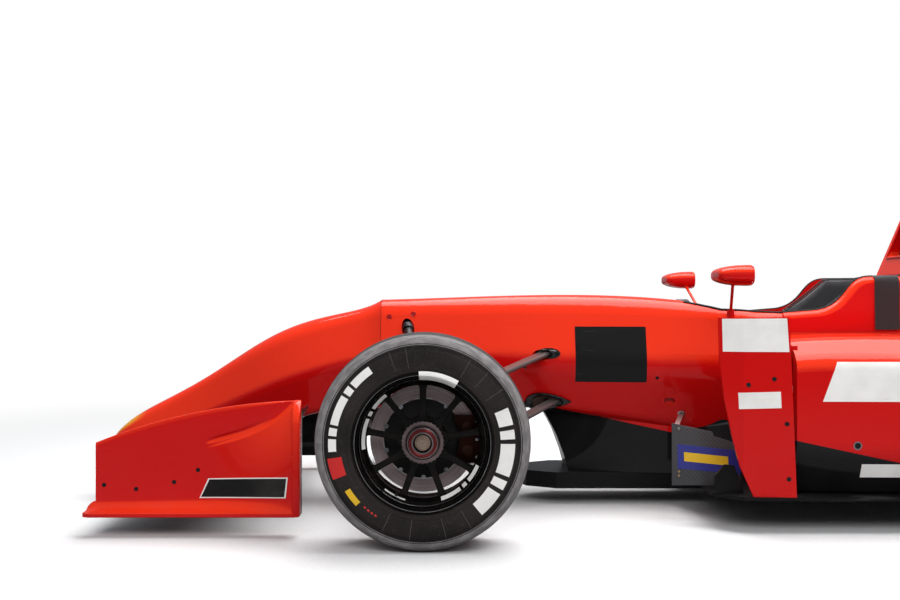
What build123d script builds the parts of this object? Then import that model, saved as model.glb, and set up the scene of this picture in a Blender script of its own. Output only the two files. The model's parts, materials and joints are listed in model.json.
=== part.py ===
from build123d import *
import math
import os

# Open wheel single seat racing car. Millimetres, Z up, X towards the tail, Y to the car's right.
# Everything is modelled with the front axle at X = 0 and the ground at Z = 0. The export moves it so
# that the origin is on the ground in the middle of the car's length.

# Driving dimensions of the whole car
WHEELBASE = 2800.0
FRONT_OVERHANG = 1015.0
REAR_OVERHANG = 536.0
FRONT_TRACK = 1595.0
REAR_TRACK = 1540.0
RUN_GAP = 0.3
SIDES = (1, -1)
NOSE_TIP = -FRONT_OVERHANG
REAR_END = WHEELBASE + REAR_OVERHANG

# Wheels and tyres: one column for each axle
FRONT, REAR = 0, 1
AXLE_X = (0.0, WHEELBASE)
TRACK = (FRONT_TRACK, REAR_TRACK)
TYRE_RADIUS = (277.0, 285.0)
TYRE_SECTION = (246.0, 290.0)
TREAD_WIDTH = (186.0, 240.0)
RIM_WIDTH = (240.0, 284.0)
RIM_LIP_RADIUS = 176.0
BEAD_RADIUS = RIM_LIP_RADIUS - 11
WELL_RADIUS = BEAD_RADIUS - 15
RIM_WALL = 6.0
SPOKE_COUNT = 9
SPOKE_WIDTH_HUB = 17.0
SPOKE_WIDTH_RIM = 11.0
SPOKE_DEPTH = 24.0
HUB_RADIUS = 57.0
NUT_RADIUS = 52.0
NUT_HEX = 68.0
NUT_LENGTH = 30.0
NUT_BORE = 23.0
SPINDLE_RADIUS = 30.0

# Brakes and uprights
DISC_RADIUS = WELL_RADIUS - RIM_WALL - 5
DISC_BAND = 36.0
DISC_THICKNESS = 24.0
CALIPER_GAP = 5.0
CALIPER_WALL = 7.0
CALIPER_WIDTH = 68.0
CALIPER_HALF = 62.0
BEARING_WALL = 26.0
SHAFT_RADIUS = 15.0

# Distances inboard of the outboard rim lip
HUB_FACE = 40.0
HUB_BACK = 78.0
DISC_FACE = 128.0
HOUSING_OUT = 164.0
HOUSING_IN = 216.0

# Outer ends of the suspension: the kingpins stand a little inboard of the wheel centres
KINGPIN_INSET = 97.5
KINGPIN_RADIUS = 7.0
BALL_RADIUS = 16.0
UPPER_BALL_Z = (TYRE_RADIUS[FRONT] + 75, TYRE_RADIUS[REAR] + 87)
LOWER_BALL_Z = (TYRE_RADIUS[FRONT] - 99, TYRE_RADIUS[REAR] - 113)
ARM_CHORD = 34.0
ARM_THICK = 14.0
ROD_DIAMETER = 22.0
POCKET_ROOM = 8.0

# Steering
STEER_ARM = 105.0
STEER_Z = TYRE_RADIUS[FRONT] + 23
RACK_X = -STEER_ARM
RACK_Z = 400.0
RACK_RADIUS = 14.0
RACK_END_Y = 262.0
RACK_CUP = 44.0
CUP_RADIUS = 27.0
CUP_BORE = 20.0
TIE_RADIUS = 8.0
TIE_BALL_RADIUS = 11.0
TIE_OFFSET = 2.5
COLUMN_TILT = 18.0
COLUMN_RADIUS = 16.0

# Floor and plank
PLANK_BOTTOM = 50.0
PLANK_HALF = 150.0
FLOOR_BOTTOM = 90.0
FLOOR_THICK = 10.0
FLOOR_TOP = FLOOR_BOTTOM + FLOOR_THICK
FLOOR_HALF = 650.0
FLOOR_START = 800.0
SPLITTER_START = 280.0
DIFFUSER_START = WHEELBASE - 260
DIFFUSER_END = REAR_END - 156
DIFFUSER_RISE = 120.0
DIFFUSER_HALF = 460.0

# Tub and cockpit
BULKHEAD_X = -147.0
COCKPIT_START = 770.0
COCKPIT_END = 1500.0
COCKPIT_FLOOR = 128.0
TUB_END = COCKPIT_END + 140
TUB_HALF = 280.0
KEEL_HALF = 205.0
RIM_Z = 600.0
COLLAR_Z = 708.0
COLLAR_HALF = 266.0
COLLAR_ROUND = 20.0
HOOP_FOOT_Z = 720.0
HOOP_TOP = 945.0
LEG_TUNNEL_START = 260.0
WHEEL_AT = (COCKPIT_START + 68, 0.0, 556.0)
DASH_X = (COCKPIT_START - 70, COCKPIT_START - 48)
SEAT_TOP = 552.0

# Mirrors
MIRROR_X = 918.0
MIRROR_FOOT = (MIRROR_X + 6, 238.0)
MIRROR_PAD_Z = 608.0
MIRROR_PAD_RADIUS = 11.0
MIRROR_Y = 430.0
MIRROR_Z = 708.0

# Sidepods and boards
POD_START = FLOOR_START + 215
POD_INNER = TUB_HALF + 6
BOARD_THICK = 10.0
VANE_Y = 446.0
VANE_THICK = 6.0

# Front wing
WING_FRONT = NOSE_TIP + 122
WING_REAR = -TYRE_RADIUS[FRONT] - 66
PLATE_IN = 640.0
PLATE_THICK = 12.0
PLATE_FACE = PLATE_IN + PLATE_THICK
PLATE_Z = 60.0
FOOT_OUT = 702.0
FOOT_THICK = 12.0

# Engine bay and rear bodywork: the engine block fills the bay between the tub and the gearbox
ENGINE_HALF = 140.0
ENGINE_TOP = 500.0
ENGINE_END = WHEELBASE - 650
MID_BAY = (TUB_END + ENGINE_END) / 2
COVER_CUT = (WHEELBASE - 370, 446.0)
COVER_WALL = 7.0
FLANGE_Y = 118.0
FLANGE_RADIUS = 52.0
CRASH_X = (WHEELBASE + 160, REAR_END - 50)
CRASH_Z = 300.0
JACK_X = REAR_END - 101
JACK_Z = 226.0
JACK_RADIUS = 11.0
JACK_HALF = 125.0
TOW_AT = (REAR_END - 44, 392.0)
TOW_RADIUS = 25.0
TOW_RING = 12.0
TOW_THICK = 10.0
LIGHT_DEPTH = 24.0
REAR_PLATE_IN = 465.0
REAR_PLATE_THICK = 10.0
POST_Y = 38.0
POST_HALF = 5.0
PIPE_RADIUS = 24.0
PIPE_WALL = 2.0

# Tub and nose: one row for each station
# x, top z, top half width, top round, shoulder half width, shoulder z, sill half width, sill z
BULKHEAD = (BULKHEAD_X, 638, 112, 70, 166, 470, 120, 292)
HULL = (
    BULKHEAD,
    (300, 652, 140, 84, 206, 450, 142, 300),
    (640, 648, 178, 82, 246, 430, 165, 256),
    (1000, 602, 256, 44, TUB_HALF, 430, KEEL_HALF, 190),
)
NOSE = (
    (NOSE_TIP, 188, 34, 8, 40, 174, 32, 160),
    (NOSE_TIP + 30, 226, 52, 32, 66, 186, 50, 148),
    (NOSE_TIP + 165, 314, 66, 41, 92, 228, 66, 160),
    (-574, 478, 84, 52, 124, 336, 90, 226),
    (-330, 583, 100, 62, 150, 425, 108, 284),
    BULKHEAD,
)

# Half of the floor's edge from above: x, y
FLOOR_EDGE = (
    (FLOOR_START, 560), (FLOOR_START + 70, 640), (FLOOR_START + 140, FLOOR_HALF), (WHEELBASE - 440, FLOOR_HALF),
    (WHEELBASE - 360, 600), (WHEELBASE - 315, 470),
)

# Sidepod: x, inner half width, sill half width, outer half width, low edge z, shoulder z, top half width, top z
POD = (
    (POD_START, POD_INNER, 560, 640, 232, 470, 560, 526),
    (POD_START + 335, POD_INNER, 585, 646, 214, 470, 560, 536),
    (MID_BAY - 45, POD_INNER - 8, 470, 560, 210, 420, 470, 494),
    (WHEELBASE - 500, 208, 250, 316, 190, 320, 280, 384),
    (WHEELBASE - 330, 150, 178, 222, 180, 262, 200, 322),
)

# Wings: leading edge, trailing edge, thickness, sag. The front flaps also have the half span from and to
FRONT_PLANE = ((WING_FRONT + 8, 98), (WING_REAR - 257, 112), 26, -12)
FRONT_FLAPS = (
    (((WING_REAR - 279, 132), (WING_REAR - 137, 196), 14, -9), 0, PLATE_IN),
    (((WING_REAR - 149, 216), (WING_REAR - 29, 302), 12, -9), 150, PLATE_IN),
)
REAR_PLANES = (
    ((REAR_END - 431, 742), (REAR_END - 156, 790), 30, -18),
    ((REAR_END - 168, 816), (REAR_END - 18, 874), 16, -9),
)
BEAM_WING = ((REAR_END - 351, 384), (REAR_END - 121, 420), 24, -14)

# Engine cover: x, then the right half's corners from the spine down
COVER = (
    (TUB_END + RUN_GAP, ((58, HOOP_TOP), (112, 800), (264, 704), (276, 470))),
    (MID_BAY + 5, ((46, 884), (82, 735), (224, 630), (262, 430))),
    (WHEELBASE - 500, ((32, 712), (58, 586), (150, 505), (196, 340))),
    (WHEELBASE - 100, ((24, 536), (46, 474), (104, 428), (122, 392))),
)

# The bucket of the seat in side view, from the knees up the back: x, z
SEAT_CURVE = (
    (COCKPIT_END - 620, 176), (COCKPIT_END - 490, 152), (COCKPIT_END - 370, 158), (COCKPIT_END - 275, 205),
    (COCKPIT_END - 200, 330), (COCKPIT_END - 116, 545),
)

# Exhaust pipe's centre line in the car's middle plane, from the engine's top to the tail: x, z
PIPE_ROUTE = (
    (ENGINE_END - 110, ENGINE_TOP), (ENGINE_END - 110, ENGINE_TOP + 74), (WHEELBASE - 380, 548),
    (WHEELBASE - 40, 474),
)
PIPE_BENDS = (52.0, 260.0)

parts = {}


def keep(name, shape):
    """Stores one sub-part under its node name."""
    parts[name] = shape


def both_sides(shape):
    """The shape and its mirror image in the car's middle plane."""
    return Compound([*shape.solids(), *mirror(shape, about=Plane.XZ).solids()])


def rounded_outline(corners, radii):
    """A closed wire of straight runs joined by tangent arcs, one arc for each corner in the list."""
    count = len(corners)
    points = [Vector(*corner) for corner in corners]
    arcs = []
    for i, (corner, radius) in enumerate(zip(points, radii)):
        before = points[i - 1] - corner
        after = points[(i + 1) % count] - corner
        half = math.radians(before.get_angle(after)) / 2
        room = 0.49 * min(before.length, after.length)
        setback = min(radius / math.tan(half), room)
        radius = setback * math.tan(half)
        centre = corner + (before.normalized() + after.normalized()).normalized() * (radius / math.sin(half))
        middle = centre + (corner - centre).normalized() * radius
        arcs.append((corner + before.normalized() * setback, middle, corner + after.normalized() * setback))
    edges = []
    for i, (start, middle, end) in enumerate(arcs):
        edges.append(ThreePointArc(start, middle, end))
        edges.append(Line(end, arcs[(i + 1) % count][0]))
    return Wire(edges)


def yz_section(x, corners, radii):
    """A closed section across the car at X: the right half's corners and their radii, mirrored."""
    ring = [(y, z) for y, z in corners] + [(-y, z) for y, z in reversed(corners)]
    both = list(radii) + list(reversed(radii))
    return Plane.YZ.offset(x) * make_face(rounded_outline(ring, both))


def one_side_section(x, corners, radii):
    """A closed section at X that lies on the right side only."""
    return Plane.YZ.offset(x) * make_face(rounded_outline(corners, radii))


def side_plate(points, y0, y1):
    """A plate with its outline drawn in side view (X, Z), from Y0 to Y1."""
    face = Plane.XZ * make_face(Polyline(*points, close=True))
    return Pos(0, y0, 0) * extrude(face, -(y1 - y0))


def plan_plate(points, z0, z1):
    """A plate with its outline drawn from above (X, Y), from Z0 to Z1."""
    return Pos(0, 0, z0) * extrude(make_face(Polyline(*points, close=True)), z1 - z0)


def box_between(low, high):
    """An upright box between two opposite corners."""
    size = [b - a for a, b in zip(low, high)]
    middle = [(a + b) / 2 for a, b in zip(low, high)]
    return Pos(*middle) * Box(*size)


def across(x, z, radius, length):
    """A cylinder on an axis across the car, at X and Z."""
    return Pos(x, 0, z) * Rot(90, 0, 0) * Cylinder(radius, length)


def arm(start, end, chord=ARM_CHORD, thick=ARM_THICK):
    """A straight suspension arm of streamlined section between two points."""
    run = Vector(*end) - Vector(*start)
    along = run.normalized()
    fore = Vector(1, 0, 0) - along * along.X
    plane = Plane(origin=start, x_dir=fore, z_dir=along)
    return extrude(plane * SlotOverall(chord, thick), run.length)


def round_rod(start, end, radius):
    """A straight round rod between two points."""
    run = Vector(*end) - Vector(*start)
    return extrude(Plane(origin=start, z_dir=run.normalized()) * Circle(radius), run.length)


def link(start, pickup, chord, thick, gap=RUN_GAP):
    """An arm from its outer end to a pick-up point, cut off flat a gap short of the pocket's floor."""
    x, y, z = pickup
    beyond = Vector(*pickup) + (Vector(*pickup) - Vector(*start)).normalized() * (2 * ARM_CHORD)
    reach = 150
    cutter = box_between((x - reach, y - reach, z - reach), (x + reach, y + gap, z + reach))
    return arm(start, tuple(beyond), chord, thick) - cutter


def pocket(start, pickup, chord, thick):
    """The cutter of an arm's pocket: the arm with room all round it, down to the pocket's floor."""
    return link(start, pickup, chord + 2 * POCKET_ROOM, thick + 2 * POCKET_ROOM, gap=0.0)


def kingpin(axle):
    """X and Y of the line through the two outer ball joints of one axle's right side."""
    return AXLE_X[axle], TRACK[axle] / 2 - KINGPIN_INSET


def outer_ball(axle, level_z):
    """Centre of an outer ball joint."""
    return (*kingpin(axle), level_z[axle])


def rod_foot(axle):
    """Lower end of the push rod, on its bracket on the lower wishbone."""
    x, y = kingpin(axle)
    return x + 6, y - 62, LOWER_BALL_Z[axle] + 33


# Suspension members of the right side, one list for each axle
# name, outer end, pick-up point, chord, thickness
TOE_LINK_END = (WHEELBASE + 105, REAR_TRACK / 2 - 90, TYRE_RADIUS[REAR] + 15)
ARMS = (
    (
        ("upper", outer_ball(FRONT, UPPER_BALL_Z), (-108, 136, 500), ARM_CHORD, ARM_THICK),
        ("upper", outer_ball(FRONT, UPPER_BALL_Z), (367, 180, 473), ARM_CHORD, ARM_THICK),
        ("lower", outer_ball(FRONT, LOWER_BALL_Z), (-40, 120, 332), ARM_CHORD, ARM_THICK),
        ("lower", outer_ball(FRONT, LOWER_BALL_Z), (400, 146, 326), ARM_CHORD, ARM_THICK),
        ("rod", rod_foot(FRONT), (-66, 116, 570), ROD_DIAMETER + 0.4, ROD_DIAMETER),
    ),
    (
        ("upper", outer_ball(REAR, UPPER_BALL_Z), (WHEELBASE - 300, 92, 388), ARM_CHORD, ARM_THICK),
        ("upper", outer_ball(REAR, UPPER_BALL_Z), (WHEELBASE + 80, 64, 368), ARM_CHORD, ARM_THICK),
        ("lower", outer_ball(REAR, LOWER_BALL_Z), (WHEELBASE - 300, 92, 172), ARM_CHORD, ARM_THICK),
        ("lower", outer_ball(REAR, LOWER_BALL_Z), (WHEELBASE + 90, 64, 207), ARM_CHORD, ARM_THICK),
        ("rod", rod_foot(REAR), (WHEELBASE - 190, 80, 385), ROD_DIAMETER + 0.4, ROD_DIAMETER),
        ("toe", TOE_LINK_END, (WHEELBASE + 135, 58, 300), 22.0, 12.0),
    ),
)
VANE_STAY = ((FLOOR_START - 58, VANE_Y + 3, 280.0), (FLOOR_START - 58, 196.0, 330.0), 18.0, 6.0)


def pockets(rows):
    """The pocket cutters of these rows on both sides."""
    return both_sides(Compound([pocket(*row) for row in rows]))


def hull_section(x, top, half_top, top_round, half_shoulder, shoulder, half_sill, sill):
    """One section of the tub or nose, with a broad round at the top and a tighter one at the sill."""
    size = min(half_top, top - sill)
    return yz_section(
        x,
        ((half_top, top), (half_shoulder, shoulder), (half_sill, sill)),
        (top_round, 0.7 * size, 0.3 * size),
    )


def nose_cone():
    """Drooped nose, closed, from its tip to the front bulkhead."""
    return loft([hull_section(*row) for row in NOSE])


def collar():
    """The raised head surround, from the low cockpit side up to the roll hoop's foot."""
    low, end = RIM_Z - 60, COCKPIT_END
    start, rise, crest = (end - 320, RIM_Z + 6), (end - 238, RIM_Z + 50), (end - 155, COLLAR_Z)
    with BuildLine() as line:
        Polyline((TUB_END, low), (end - 420, low), (end - 420, RIM_Z - 2), start)
        Spline(start, rise, crest, tangents=((1, 0.12), (1, 0.02)))
        Polyline(
            crest, (end - 60, COLLAR_Z), (end - 5, HOOP_FOOT_Z), (TUB_END, HOOP_FOOT_Z), (TUB_END, low),
        )
    block = extrude(Plane.XZ * make_face(line.line), COLLAR_HALF, both=True)
    rims = [e for e in block.edges() if e.center().Z > RIM_Z and abs(abs(e.center().Y) - COLLAR_HALF) < 1]
    rims = [e for e in rims if abs(e.center().X - TUB_END) > 1]
    return fillet(rims, COLLAR_ROUND)


def cockpit_outline(inset=0.0):
    """The cockpit opening seen from above, pulled in by an inset."""
    half = (
        (COCKPIT_START, 165), (COCKPIT_START + 130, 215), (COCKPIT_START + 380, 238), (COCKPIT_END - 120, 222),
        (COCKPIT_END, 150),
    )
    ring = [(x, -y) for x, y in half] + [(x, y) for x, y in reversed(half)]
    face = make_face(rounded_outline(ring, [60] * len(ring)))
    return offset(face, -inset) if inset else face


def column_axis():
    """The steering column's axis, from the rack towards the driver."""
    tilt = math.radians(COLUMN_TILT)
    return Vector(math.cos(tilt), 0, math.sin(tilt))


def column_cylinder(radius, start, end):
    """A cylinder on the steering column's axis, between two distances from the wheel's centre."""
    axis = column_axis()
    plane = Plane(origin=Vector(*WHEEL_AT) + axis * start, z_dir=axis)
    return extrude(plane * Circle(radius), end - start)


def keel():
    """The narrow lower tub between the floor and the hull, with its undercut front edge."""
    top = 420
    side = side_plate(
        ((345, 312), (372, 275), (404, 214), (428, 150), (442, FLOOR_TOP), (TUB_END, FLOOR_TOP),
         (TUB_END, 400), (345, 400)),
        -TUB_HALF, TUB_HALF,
    )
    half = ((330, 70), (640, 150), (1000, KEEL_HALF), (TUB_END, KEEL_HALF))
    ring = [(x, -y) for x, y in reversed(half)] + list(half)
    return side & plan_plate(ring, FLOOR_TOP - 10, top)


def tub():
    """Monocoque with an open cockpit, a leg tunnel, pick-up pockets and the rack bore."""
    body = loft([hull_section(*row) for row in HULL])
    body += extrude(hull_section(*HULL[-1]), TUB_END - HULL[-1][0])
    body += keel() + collar()
    body -= Pos(0, 0, COCKPIT_FLOOR) * extrude(cockpit_outline(), COLLAR_Z)
    body -= loft([
        Plane.YZ.offset(LEG_TUNNEL_START) * Pos(0, 465) * RectangleRounded(230, 250, 40),
        Plane.YZ.offset(COCKPIT_START + 60) * Pos(0, 400) * RectangleRounded(310, 290, 40),
    ])
    body += box_between((DASH_X[0], -150, 470), (DASH_X[1], 150, RIM_Z))
    body -= column_cylinder(COLUMN_RADIUS + RUN_GAP, -200, 0)
    body -= across(RACK_X, RACK_Z, RACK_RADIUS + RUN_GAP, 600)
    body -= pockets([row[1:] for row in ARMS[FRONT]] + [VANE_STAY])
    pad_height = 54
    for side in SIDES:
        x, y = MIRROR_FOOT
        body += Pos(x, side * y, MIRROR_PAD_Z - pad_height / 2) * Cylinder(MIRROR_PAD_RADIUS, pad_height)
    return body


def mirrors():
    """Two mirror housings, each on a blade stalk that stands on the tub."""
    x, y = MIRROR_FOOT
    foot = (x, y - 9, MIRROR_PAD_Z - 6)
    head = (MIRROR_X - 18, MIRROR_Y - 56, MIRROR_Z - 14)
    stalk = arm(foot, head, 15, 8)
    stalk -= Pos(x, y, MIRROR_PAD_Z + RUN_GAP - 20) * Box(80, 80, 40)
    shell = loft([
        Plane.YZ.offset(MIRROR_X - 84) * Pos(MIRROR_Y, MIRROR_Z - 4) * RectangleRounded(70, 26, 11),
        Plane.YZ.offset(MIRROR_X - 58) * Pos(MIRROR_Y, MIRROR_Z) * RectangleRounded(138, 48, 22),
        Plane.YZ.offset(MIRROR_X + 14) * Pos(MIRROR_Y, MIRROR_Z) * RectangleRounded(160, 60, 18),
    ])
    shell -= Pos(MIRROR_X + 12, MIRROR_Y, MIRROR_Z) * Box(12, 148, 48)
    return both_sides(stalk + shell)


def plank():
    """The stepped plank under the middle of the floor, with its splitter nose."""
    half = (
        (SPLITTER_START, 0), (SPLITTER_START + 30, PLANK_HALF - 60), (SPLITTER_START + 120, PLANK_HALF),
        (WHEELBASE - 500, PLANK_HALF), (WHEELBASE - 300, 90),
    )
    ring = list(half) + [(x, -y) for x, y in reversed(half[1:])]
    return plan_plate(ring, PLANK_BOTTOM, FLOOR_TOP)


def diffuser():
    """The upswept tail of the floor with two fences on each side."""
    roof = side_plate(
        ((DIFFUSER_START, FLOOR_BOTTOM), (DIFFUSER_END, FLOOR_BOTTOM + DIFFUSER_RISE),
         (DIFFUSER_END, FLOOR_TOP + DIFFUSER_RISE - 4), (DIFFUSER_START, FLOOR_TOP)),
        -DIFFUSER_HALF, DIFFUSER_HALF,
    )
    fence_thick = 6
    for y in (PLANK_HALF, DIFFUSER_HALF - fence_thick):
        fence = side_plate(
            ((DIFFUSER_START + 60, FLOOR_BOTTOM + 10), (DIFFUSER_END, FLOOR_BOTTOM + 10),
             (DIFFUSER_END, FLOOR_BOTTOM + DIFFUSER_RISE + 2), (DIFFUSER_START + 60, FLOOR_TOP + 12)),
            y, y + fence_thick,
        )
        roof += fence + mirror(fence, about=Plane.XZ)
    return roof


def floor():
    """Stepped floor: the plank, the flat step plane, the diffuser and the two front feet."""
    half = (*FLOOR_EDGE, (DIFFUSER_START + 20, 470))
    ring = [(x, -y) for x, y in half] + [(x, y) for x, y in reversed(half)]
    shell = plan_plate(ring, FLOOR_BOTTOM, FLOOR_TOP) + plank() + diffuser()
    start = FLOOR_START
    foot = side_plate(
        ((start + 2, FLOOR_TOP), (start + 6, 150), (start + 32, 180), (start + 58, 178), (start + 86, FLOOR_TOP)),
        566, 576,
    )
    return shell + foot + mirror(foot, about=Plane.XZ)


def sidepod():
    """Right hand sidepod, open at the front as a radiator duct and at the tail as its outlet."""
    sections = []
    for x, inner, sill, outer, low, shoulder, top_half, top in POD:
        corners = (
            (inner, FLOOR_TOP), (sill, FLOOR_TOP), (outer, low), (outer, shoulder), (top_half, top), (inner, top),
        )
        sections.append(one_side_section(x, corners, (3, 20, 90, 60, 60, 8)))
    pod = loft(sections)
    duct = loft([
        Plane.YZ.offset(POD[0][0] - 5) * Pos(452, 318) * RectangleRounded(290, 360, 40),
        Plane.YZ.offset(POD[0][0] + 300) * Pos(450, 320) * RectangleRounded(250, 300, 30),
    ])
    outlet = loft([
        Plane.YZ.offset(POD[-1][0] - 120) * Pos(200, 222) * RectangleRounded(60, 130, 12),
        Plane.YZ.offset(POD[-1][0] + 5) * Pos(180, 214) * RectangleRounded(40, 150, 12),
    ])
    return pod - duct - outlet


def side_boards():
    """Upright curved boards ahead of the sidepods, standing on the floor."""
    x = FLOOR_START
    outline = side_plate(
        ((x + 8, 588), (x + 192, 590), (x + 211, FLOOR_TOP), (x + 97, FLOOR_TOP), (x + 62, 180), (x + 43, 257),
         (x + 22, 365), (x + 10, 480)),
        500, 720,
    )
    bend = make_face(Polyline(
        (x - 10, 600), (x + 70, 634), (x + 214, 652), (x + 214, 652 - BOARD_THICK), (x + 72, 623), (x - 6, 590),
        close=True))
    board = outline & extrude(bend, 900)
    tie = box_between((x + 196, 548, 500), (POD_START, 645, 512))
    return both_sides(board + tie)


def turning_vanes():
    """Flat plates beside the tub that guide the air under the floor, with their stays."""
    x, y0, y1 = FLOOR_START, VANE_Y, VANE_Y + VANE_THICK
    plate = side_plate(
        ((x - 93, 283), (x + 24, 258), (x + 26, 246), (x + 72, 232), (x + 105, 215), (x + 105, FLOOR_TOP + 4),
         (x + 80, FLOOR_TOP + 4), (x - 93, 128)),
        y0, y1,
    )
    foot = box_between((x + 45, y0, FLOOR_TOP), (x + 105, y1, FLOOR_TOP + 6))
    return both_sides(plate + foot + link(*VANE_STAY))


def airfoil(nose, tail, thick, sag):
    """A wing section in side view: a round nose, two arcs and a blunt tail. A negative sag bulges down."""
    a, b = Vector(*nose), Vector(*tail)
    chord = b - a
    along = chord.normalized()
    up = Vector(-along.Y, along.X)
    radius, half_tail = 0.32 * thick, 1.5
    middle = a + chord * 0.4 + up * sag
    top_start, low_start = a + along * radius + up * radius, a + along * radius - up * radius
    top_end, low_end = b + up * half_tail, b - up * half_tail
    top = ThreePointArc(top_start, middle + up * (thick / 2), top_end)
    low = ThreePointArc(low_end, middle - up * (thick / 2), low_start)
    return Plane.XZ * make_face([top, Line(top_end, low_end), low, ThreePointArc(low_start, a, top_start)])


def wing(section, y0, y1):
    """A wing element between two Y planes."""
    return Pos(0, y0, 0) * extrude(airfoil(*section), -(y1 - y0))


def front_wing():
    """The front main plane and its slotted flaps. The second flap is in two halves beside the nose."""
    span = PLATE_IN - RUN_GAP
    planes = [wing(FRONT_PLANE, -span, span)]
    for section, inner, outer in FRONT_FLAPS:
        if inner:
            planes += both_sides(wing(section, inner, outer - RUN_GAP)).solids()
        else:
            planes += wing(section, -outer + RUN_GAP, outer - RUN_GAP).solids()
    return Compound(planes)


def front_endplates():
    """Front wing endplates: a plate, an outward bulge that grows towards the tail, and a foot."""
    front, rear = WING_FRONT, WING_REAR
    edge = Plane.XZ * make_face([
        Line((front, PLATE_Z), (front, 250)),
        ThreePointArc((front, 250), (rear - 267, 334), (rear, 364)),
        Line((rear, 364), (rear, PLATE_Z)),
        Line((rear, PLATE_Z), (front, PLATE_Z)),
    ])
    plate = Pos(0, PLATE_IN, 0) * extrude(edge, -PLATE_THICK)
    root = PLATE_FACE - 4
    # x, how far the crest stands out, top z, low z
    rows = ((rear - 257, 2, 236, 150), (rear - 137, 16, 292, 96), (rear, 46, 336, 78))
    bulge = loft([
        one_side_section(
            x,
            ((root, low), (PLATE_FACE + out, low + 14), (PLATE_FACE + out, top - 0.8 * out - 6), (root, top)),
            (1, 8, 8, 1),
        )
        for x, out, top, low in rows
    ])
    foot = plan_plate(
        ((front, PLATE_IN), (rear, PLATE_IN), (rear, FOOT_OUT), (front + 13, FOOT_OUT),
         (front - 23, FOOT_OUT - 12), (front - 23, PLATE_FACE), (front, PLATE_FACE)),
        PLATE_Z - FOOT_THICK / 2, PLATE_Z + FOOT_THICK / 2,
    )
    lip = box_between((front - 7, FOOT_OUT - 8, PLATE_Z), (rear, FOOT_OUT, PLATE_Z + 18))
    return both_sides(plate + bulge + foot + lip)


def pylons():
    """Two plates that hang the front wing under the nose."""
    blade = side_plate(
        ((WING_FRONT + 33, 260), (WING_REAR - 257, 320), (WING_REAR - 297, 90), (WING_FRONT + 43, 90)), 64, 72)
    blade -= nose_cone()
    blade -= wing(FRONT_PLANE, -PLATE_IN, PLATE_IN)
    blade = blade.solids().sort_by(SortBy.VOLUME)[-1]
    return both_sides(blade)


def cover_section(x, corners, inset=0.0):
    """One section of the engine cover, or of its inside when pulled in by an inset."""
    if inset:
        corners = [(y - inset, z - inset) for y, z in corners]
        corners[-1] = (corners[-1][0], corners[-1][1] - 60)
    return yz_section(x, corners, (30, 70, 60, 10))


def engine_cover():
    """The thin bell shaped engine cover, open at the front, at the tail and below."""
    outside = loft([cover_section(*row) for row in COVER])
    inside = loft([cover_section(x, corners, COVER_WALL) for x, corners in COVER])
    x, z = COVER_CUT
    return outside - inside - box_between((x, -400, z - 300), (x + 400, 400, z))


def roll_hoop():
    """Roll hoop with its air intake opening, between the head surround and the engine cover."""
    start = COCKPIT_END
    front = Plane.YZ.offset(start) * make_face(rounded_outline(
        ((152, HOOP_FOOT_Z), (58, HOOP_TOP), (-58, HOOP_TOP), (-152, HOOP_FOOT_Z)), (4, 44, 44, 4)))
    side = side_plate(
        ((start, HOOP_FOOT_Z), (start + 66, HOOP_TOP), (TUB_END, HOOP_TOP), (TUB_END, HOOP_FOOT_Z)), -200, 200)
    window = Plane.YZ.offset(start - 10) * make_face(rounded_outline(
        ((92, 776), (42, 912), (-42, 912), (-92, 776)), (22, 26, 26, 22)))
    return (extrude(front, 200) & side) - extrude(window, 220)


def headrest():
    """Horseshoe pad inside the head surround."""
    end, top = COCKPIT_END, COLLAR_Z
    ring = cockpit_outline(RUN_GAP) - cockpit_outline(44.0)
    pad = Pos(0, 0, SEAT_TOP + RUN_GAP) * extrude(ring, top - SEAT_TOP - RUN_GAP)
    return pad & side_plate(
        ((end - 295, 500), (end - 295, 602), (end - 238, 644), (end - 160, top), (end, top), (end, 500)),
        -300, 300,
    )


def seat():
    """One piece bucket seat that fills the rear of the cockpit, with raised sides."""
    knee, end = COCKPIT_START + 90, COCKPIT_END
    block = side_plate(
        ((knee, COCKPIT_FLOOR), (knee, 246), (end - 360, 296), (end - 260, 400), (end - 116, SEAT_TOP),
         (end, SEAT_TOP), (end, COCKPIT_FLOOR)),
        -240, 240,
    )
    block &= Pos(0, 0, COCKPIT_FLOOR + RUN_GAP) * extrude(cockpit_outline(3.0), 500)
    front, back = knee - 20, SEAT_CURVE[-1][0]
    bucket = side_plate(SEAT_CURVE + ((back, 700), (front, 700), (front, 184)), -168, 168)
    return block - bucket


def harness():
    """Shoulder belts on the seat back, and the belt that hangs over the left cockpit side."""
    belts = []
    width, thick = 70, 4.0
    down = SEAT_CURVE[:2:-1]
    near, far = [[(x - 0.9 * off, z + 0.43 * off) for x, z in down] for off in (RUN_GAP, RUN_GAP + thick + 0.7)]
    for y in (-95, 25):
        belts.append(side_plate((*near, *reversed(far)), y, y + width))
    side, top, low = -COLLAR_HALF - RUN_GAP, COLLAR_Z + RUN_GAP, 548
    inner = -184
    over = Plane.YZ * make_face(Polyline(
        (inner, top), (side, top), (side, low), (side - thick, low), (side - thick, top + thick),
        (inner, top + thick), close=True))
    belts.append(Pos(COCKPIT_END - 148, 0, 0) * extrude(over, width + 4))
    return Compound([solid for belt in belts for solid in belt.solids()])


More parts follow.
